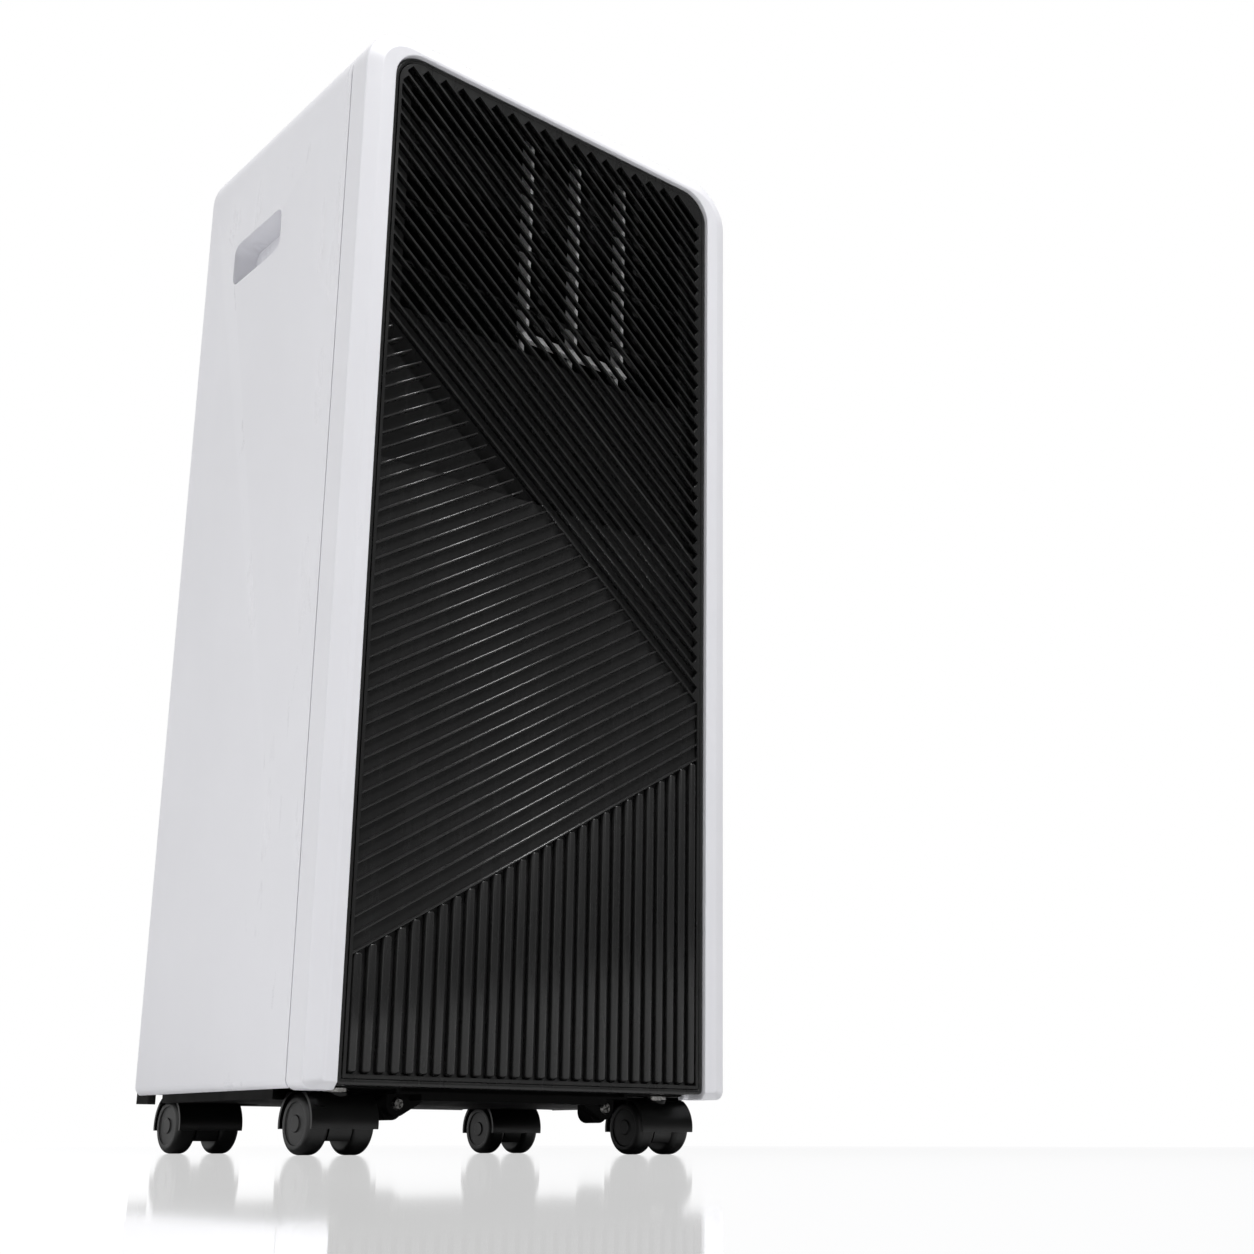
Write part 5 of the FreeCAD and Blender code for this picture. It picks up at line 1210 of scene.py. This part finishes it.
# ---- casing ---------------------------------------------------------------------
@dataclass
class Casing:
    """White casing: bezel, shell and back cover, with softly rounded edges."""

    edge: float = 0.75 * MM
    foot_edge: float = 2.1 * MM
    cover_edge: float = 0.5 * MM

    def weighted(self, node: str, angle: float) -> bpy.types.Mesh:
        """A copy whose outer lower edges are marked for a larger rounding than the others.

        Args:
            node: The CAD node.
            angle: Angle in degrees above which an edge is rounded.

        Returns:
            The copy, with bevel weights.
        """
        mesh = merged_copy(node)
        bm = bmesh.new()
        bm.from_mesh(mesh)
        weight = bm.edges.layers.float.new("bevel_weight_edge")
        lowest = min(v.co.z for v in bm.verts) + 0.05 * MM
        for edge in bm.edges:
            if len(edge.link_faces) != 2 or edge.calc_face_angle() < math.radians(angle):
                continue
            middle = (edge.verts[0].co + edge.verts[1].co) / 2
            outer = any(face.normal.xy.dot(middle.xy) > 0.1 * middle.xy.length for face in edge.link_faces)
            foot = outer and all(v.co.z < lowest for v in edge.verts)
            edge[weight] = 1.0 if foot else self.edge / self.foot_edge
        bm.to_mesh(mesh)
        bm.free()
        return mesh

    def build(self) -> list[Piece]:
        """Makes the casing's pieces.

        Returns:
            The back cover, the bezel and the shell.
        """
        pieces = [soften("back_cover", "cover_white", self.cover_edge, 2, 30)]
        for node, angle in (("front_frame", 20), ("main_shell", 30)):
            piece = Piece(f"{node}_finished", self.weighted(node, angle), "casing_white", "cabinet", (node,))
            pieces.append(piece.rounded(self.foot_edge, 4, True))
        return pieces


@dataclass
class Screws:
    """Cross-head screws of the back cover and of the tray's lugs, in the places of the CAD ones."""

    node: str = "case_screws"
    head_share: float = 0.24
    cross_w_share: float = 0.3
    cross_depth_share: float = 0.8
    cross_turn: float = 25.0

    def islands(self) -> list[tuple[Vector, Vector]]:
        """The box of each screw in the CAD node.

        Returns:
            Lower and upper corners.
        """
        bm = bmesh.new()
        bm.from_mesh(frame["nodes"][self.node].data)
        bmesh.ops.remove_doubles(bm, verts=bm.verts, dist=CAD_JOIN)
        left, boxes = set(bm.verts), []
        while left:
            front = [left.pop()]
            island = list(front)
            while front:
                corner = front.pop()
                near = {edge.other_vert(corner) for edge in corner.link_edges} & left
                left -= near
                front += near
                island += near
            places = [v.co for v in island]
            boxes.append((Vector(map(min, zip(*places))), Vector(map(max, zip(*places)))))
        bm.free()
        return boxes

    def build(self) -> list[Piece]:
        """Makes all the screws as one piece.

        Returns:
            The piece.
        """
        meshes = []
        for low, high in self.islands():
            rear, middle, length = low.y + high.y > 0, (low + high) / 2, high.y - low.y
            start = bpy.data.meshes.new("screw_place")
            start.from_pydata([(0, 0, 0)], [], [])
            radius, head = (high.x - low.x) / 2, length * self.head_share
            sizes = {"Head Radius": radius, "Head Height": head, "Length": length,
                     "Cross Width": radius * self.cross_w_share, "Cross Depth": head * self.cross_depth_share}
            mesh = grow(Trees.screws, start, sizes, FINISHES["screw_steel"].material())
            turn = Matrix.Rotation(math.radians(-90 if rear else 90), 4, "X")
            place = Vector((middle.x, high.y if rear else low.y, middle.z))
            cross = Matrix.Rotation(math.radians(self.cross_turn), 4, "Z")
            mesh.transform(Matrix.Translation(place) @ turn @ cross)
            meshes.append(mesh)
        piece = Piece(f"{self.node}_finished", merged(*meshes), "screw_steel", "cabinet", (self.node,))
        return [piece.shaded(30)]


@dataclass
class Inside:
    """CAD nodes whose shape is kept, each with its own finish."""

    def build(self) -> None:
        """Dresses every node that nothing has replaced."""
        slots = node_slots()
        for name, node in frame["nodes"].items():
            if not node.hide_render:
                node.data.materials.clear()
                node.data.materials.append(FINISHES[slots[name]].material())
                log.info("%s keeps its CAD shape in %s", name, slots[name])


def node_slots() -> dict[str, str]:
    """Each CAD node's material slot, as the record gives it."""
    return {part["node"]: part["material_slot"] for part in frame["record"]["subparts"]}


# ---- casters and small parts ----------------------------------------------------
@dataclass
class Casters:
    """Four twin-wheel casters with mudguards, and the tray that they turn in."""

    tags: tuple[str, ...] = ("fl", "fr", "rl", "rr")
    hood_edge: float = 0.5 * MM
    wheel_edge: float = 0.4 * MM
    tray_edge: float = 0.4 * MM

    def build(self) -> list[Piece]:
        """Makes hoods, wheels and the tray.

        Returns:
            Their pieces.
        """
        pieces = [soften("base_tray", "base_black", self.tray_edge, 2)]
        for tag in self.tags:
            pieces.append(soften(f"caster_{tag}_hood", "caster_black", self.hood_edge, 2))
            for side in ("left", "right"):
                pieces.append(soften(f"caster_{tag}_wheel_{side}", "caster_tread", self.wheel_edge, 2))
        return pieces


@dataclass
class TopControls:
    """Inlaid control panel with its display and five round keys."""

    keys: tuple[str, ...] = ("power", "mode", "fan", "up", "down")
    panel_edge: float = 0.3 * MM
    glass_edge: float = 0.2 * MM
    key_edge: float = 0.25 * MM

    def build(self) -> list[Piece]:
        """Makes the panel, the display and the keys.

        Returns:
            Their pieces.
        """
        pieces = [soften("control_panel", "control_black", self.panel_edge),
                  soften("display_window", "display_glass", self.glass_edge)]
        return pieces + [soften(f"button_{key}", "button_grey", self.key_edge) for key in self.keys]


@dataclass
class Rear:
    """Exhaust socket, filter, drain plug and cord gland."""

    edge: float = 0.35 * MM

    def build(self) -> list[Piece]:
        """Makes the rear's pieces.

        Returns:
            The pieces.
        """
        slots = node_slots()
        names = ("exhaust_collar", "intake_filter_frame", "drain_plug", "drain_pipe", "cord_gland")
        return [soften(name, slots[name], self.edge) for name in names]


@dataclass
class Outlet:
    """Swing vanes behind the grille and the bar that joins them."""

    vanes: int = 3
    edge: float = 0.3 * MM

    def build(self) -> list[Piece]:
        """Makes the vanes and their tie bar."""
        names = [f"vane_{k + 1}" for k in range(self.vanes)] + ["vane_tie_bar"]
        return [soften(name, node_slots()[name], self.edge) for name in names]


# ---- studio ---------------------------------------------------------------------
@dataclass
class Studio:
    """Pale floor, soft lights and the camera."""

    eye: tuple[float, float, float] = (-0.5705, -0.9145, 0.0057)
    yaw: float = 41.44
    pitch: float = 14.53
    roll: float = 0.13
    lens: float = 46.59
    shift: tuple[float, float] = (-0.0663, 0.0780)
    floor_half: float = 30.0
    front_level: float = 0.1
    back_level: float = 0.85
    right_share: float = 0.7
    aim: tuple[float, float, float] = (0.0, 0.0, 0.35)
    mirror_share: float = 0.7
    glow: float = 1.95
    matt_level: float = 0.62

    def build(self) -> None:
        """Sets the stage."""
        self.floor()
        self.sky()
        self.lamp("key_light", (0.3, -1.7, 4.1), 1.4, 205.0)
        self.lamp("left_fill", (-3.2, -0.2, 1.4), 2.6, 28.0)
        self.camera()
        bpy.context.scene.view_settings.view_transform = "Standard"

    def floor(self) -> None:
        """A wide pale floor with a soft sheen."""
        half = self.floor_half
        mesh = bpy.data.meshes.new("floor")
        corners = [(-half, -half, 0), (half, -half, 0), (half, half, 0), (-half, half, 0)]
        mesh.from_pydata(corners, [], [(0, 1, 2, 3)])
        plate = bpy.data.objects.new("floor", mesh)
        bpy.context.scene.collection.objects.link(plate)
        made = bpy.data.materials.new("pale_floor")
        made.use_nodes = True
        g = Graph(made.node_tree)
        level = self.matt_level
        matt = g.add("ShaderNodeBsdfDiffuse", {"Color": (level, level, level, 1)}).outputs[0]
        glow = g.add("ShaderNodeEmission", {0: (1.0, 1.0, 1.0, 1.0), 1: self.glow}).outputs[0]
        sheen = g.add("ShaderNodeBsdfGlossy", {"Color": (0.95, 0.95, 0.96, 1), "Roughness": 0.05}).outputs[0]
        seen = g.add("ShaderNodeMixShader", {0: self.mirror_share, 1: glow, 2: sheen}).outputs[0]
        direct = g.add("ShaderNodeLightPath").outputs["Is Camera Ray"]
        both = g.add("ShaderNodeMixShader", {0: direct, 1: matt, 2: seen}).outputs[0]
        g.add("ShaderNodeOutputMaterial", {0: both})
        mesh.materials.append(made)

    def sky(self) -> None:
        """White surroundings that are dimmer in front of the object, where the studio is dark."""
        world = bpy.data.worlds.new("studio")
        world.use_nodes = True
        g = Graph(world.node_tree)
        way = g.add("ShaderNodeSeparateXYZ", {0: g.add("ShaderNodeTexCoord").outputs["Generated"]}).outputs
        front_to_back = {0: way[1], 1: -0.5, 2: 0.6, 3: self.front_level, 4: self.back_level}
        left_to_right = {0: way[0], 1: -0.2, 2: 0.7, 3: 1.0, 4: self.right_share}
        behind, right = (g.add("ShaderNodeMapRange", inputs, interpolation_type="SMOOTHSTEP").outputs[0]
                         for inputs in (front_to_back, left_to_right))
        seen = g.add("ShaderNodeLightPath").outputs["Is Camera Ray"]
        share = g.math("MULTIPLY", behind, right)
        level = g.add("ShaderNodeMix", {0: seen, 2: share, 3: 1.0}, data_type="FLOAT").outputs[0]
        light = g.add("ShaderNodeBackground", {0: (1.0, 1.0, 1.0, 1.0), 1: level}).outputs[0]
        g.add("ShaderNodeOutputWorld", {0: light})
        bpy.context.scene.world = world

    def lamp(self, name: str, place: Sequence[float], size: float, watts: float) -> None:
        """A square soft light aimed at the middle of the casing.

        Args:
            name: Its name.
            place: Where it stands.
            size: Its side.
            watts: Its power.
        """
        light = bpy.data.lights.new(name, "AREA")
        light.energy, light.size = watts, size
        lamp = bpy.data.objects.new(name, light)
        lamp.location = place
        way = Vector(self.aim) - Vector(place)
        lamp.rotation_euler = way.to_track_quat("-Z", "Y").to_euler()
        bpy.context.scene.collection.objects.link(lamp)

    def camera(self) -> None:
        """The low three-quarter view from the front left."""
        lens = bpy.data.cameras.new("camera")
        lens.lens, lens.sensor_width = self.lens, 36.0
        lens.shift_x, lens.shift_y = self.shift
        lens.clip_start = 0.01
        camera = bpy.data.objects.new("camera", lens)
        yaw, pitch, roll = (math.radians(a) for a in (self.yaw, self.pitch, self.roll))
        tilt = Matrix.Rotation(math.pi / 2 + pitch, 4, "X") @ Matrix.Rotation(roll, 4, "Z")
        camera.matrix_world = Matrix.Translation(self.eye) @ Matrix.Rotation(-yaw, 4, "Z") @ tilt
        bpy.context.scene.collection.objects.link(camera)
        bpy.context.scene.camera = camera


def main() -> None:
    """Builds every sub-assembly in order."""
    logging.basicConfig(level=logging.INFO, format="%(name)s %(message)s")
    Studio().build()
    for assembly in (FrontPanels(), Casing(), Casters(), TopControls(), Rear(), Outlet(), Screws()):
        made = assembly.build()
        log.info("%s: %d pieces", type(assembly).__name__, len(made))
    Inside().build()


if __name__ == "__main__":
    main()
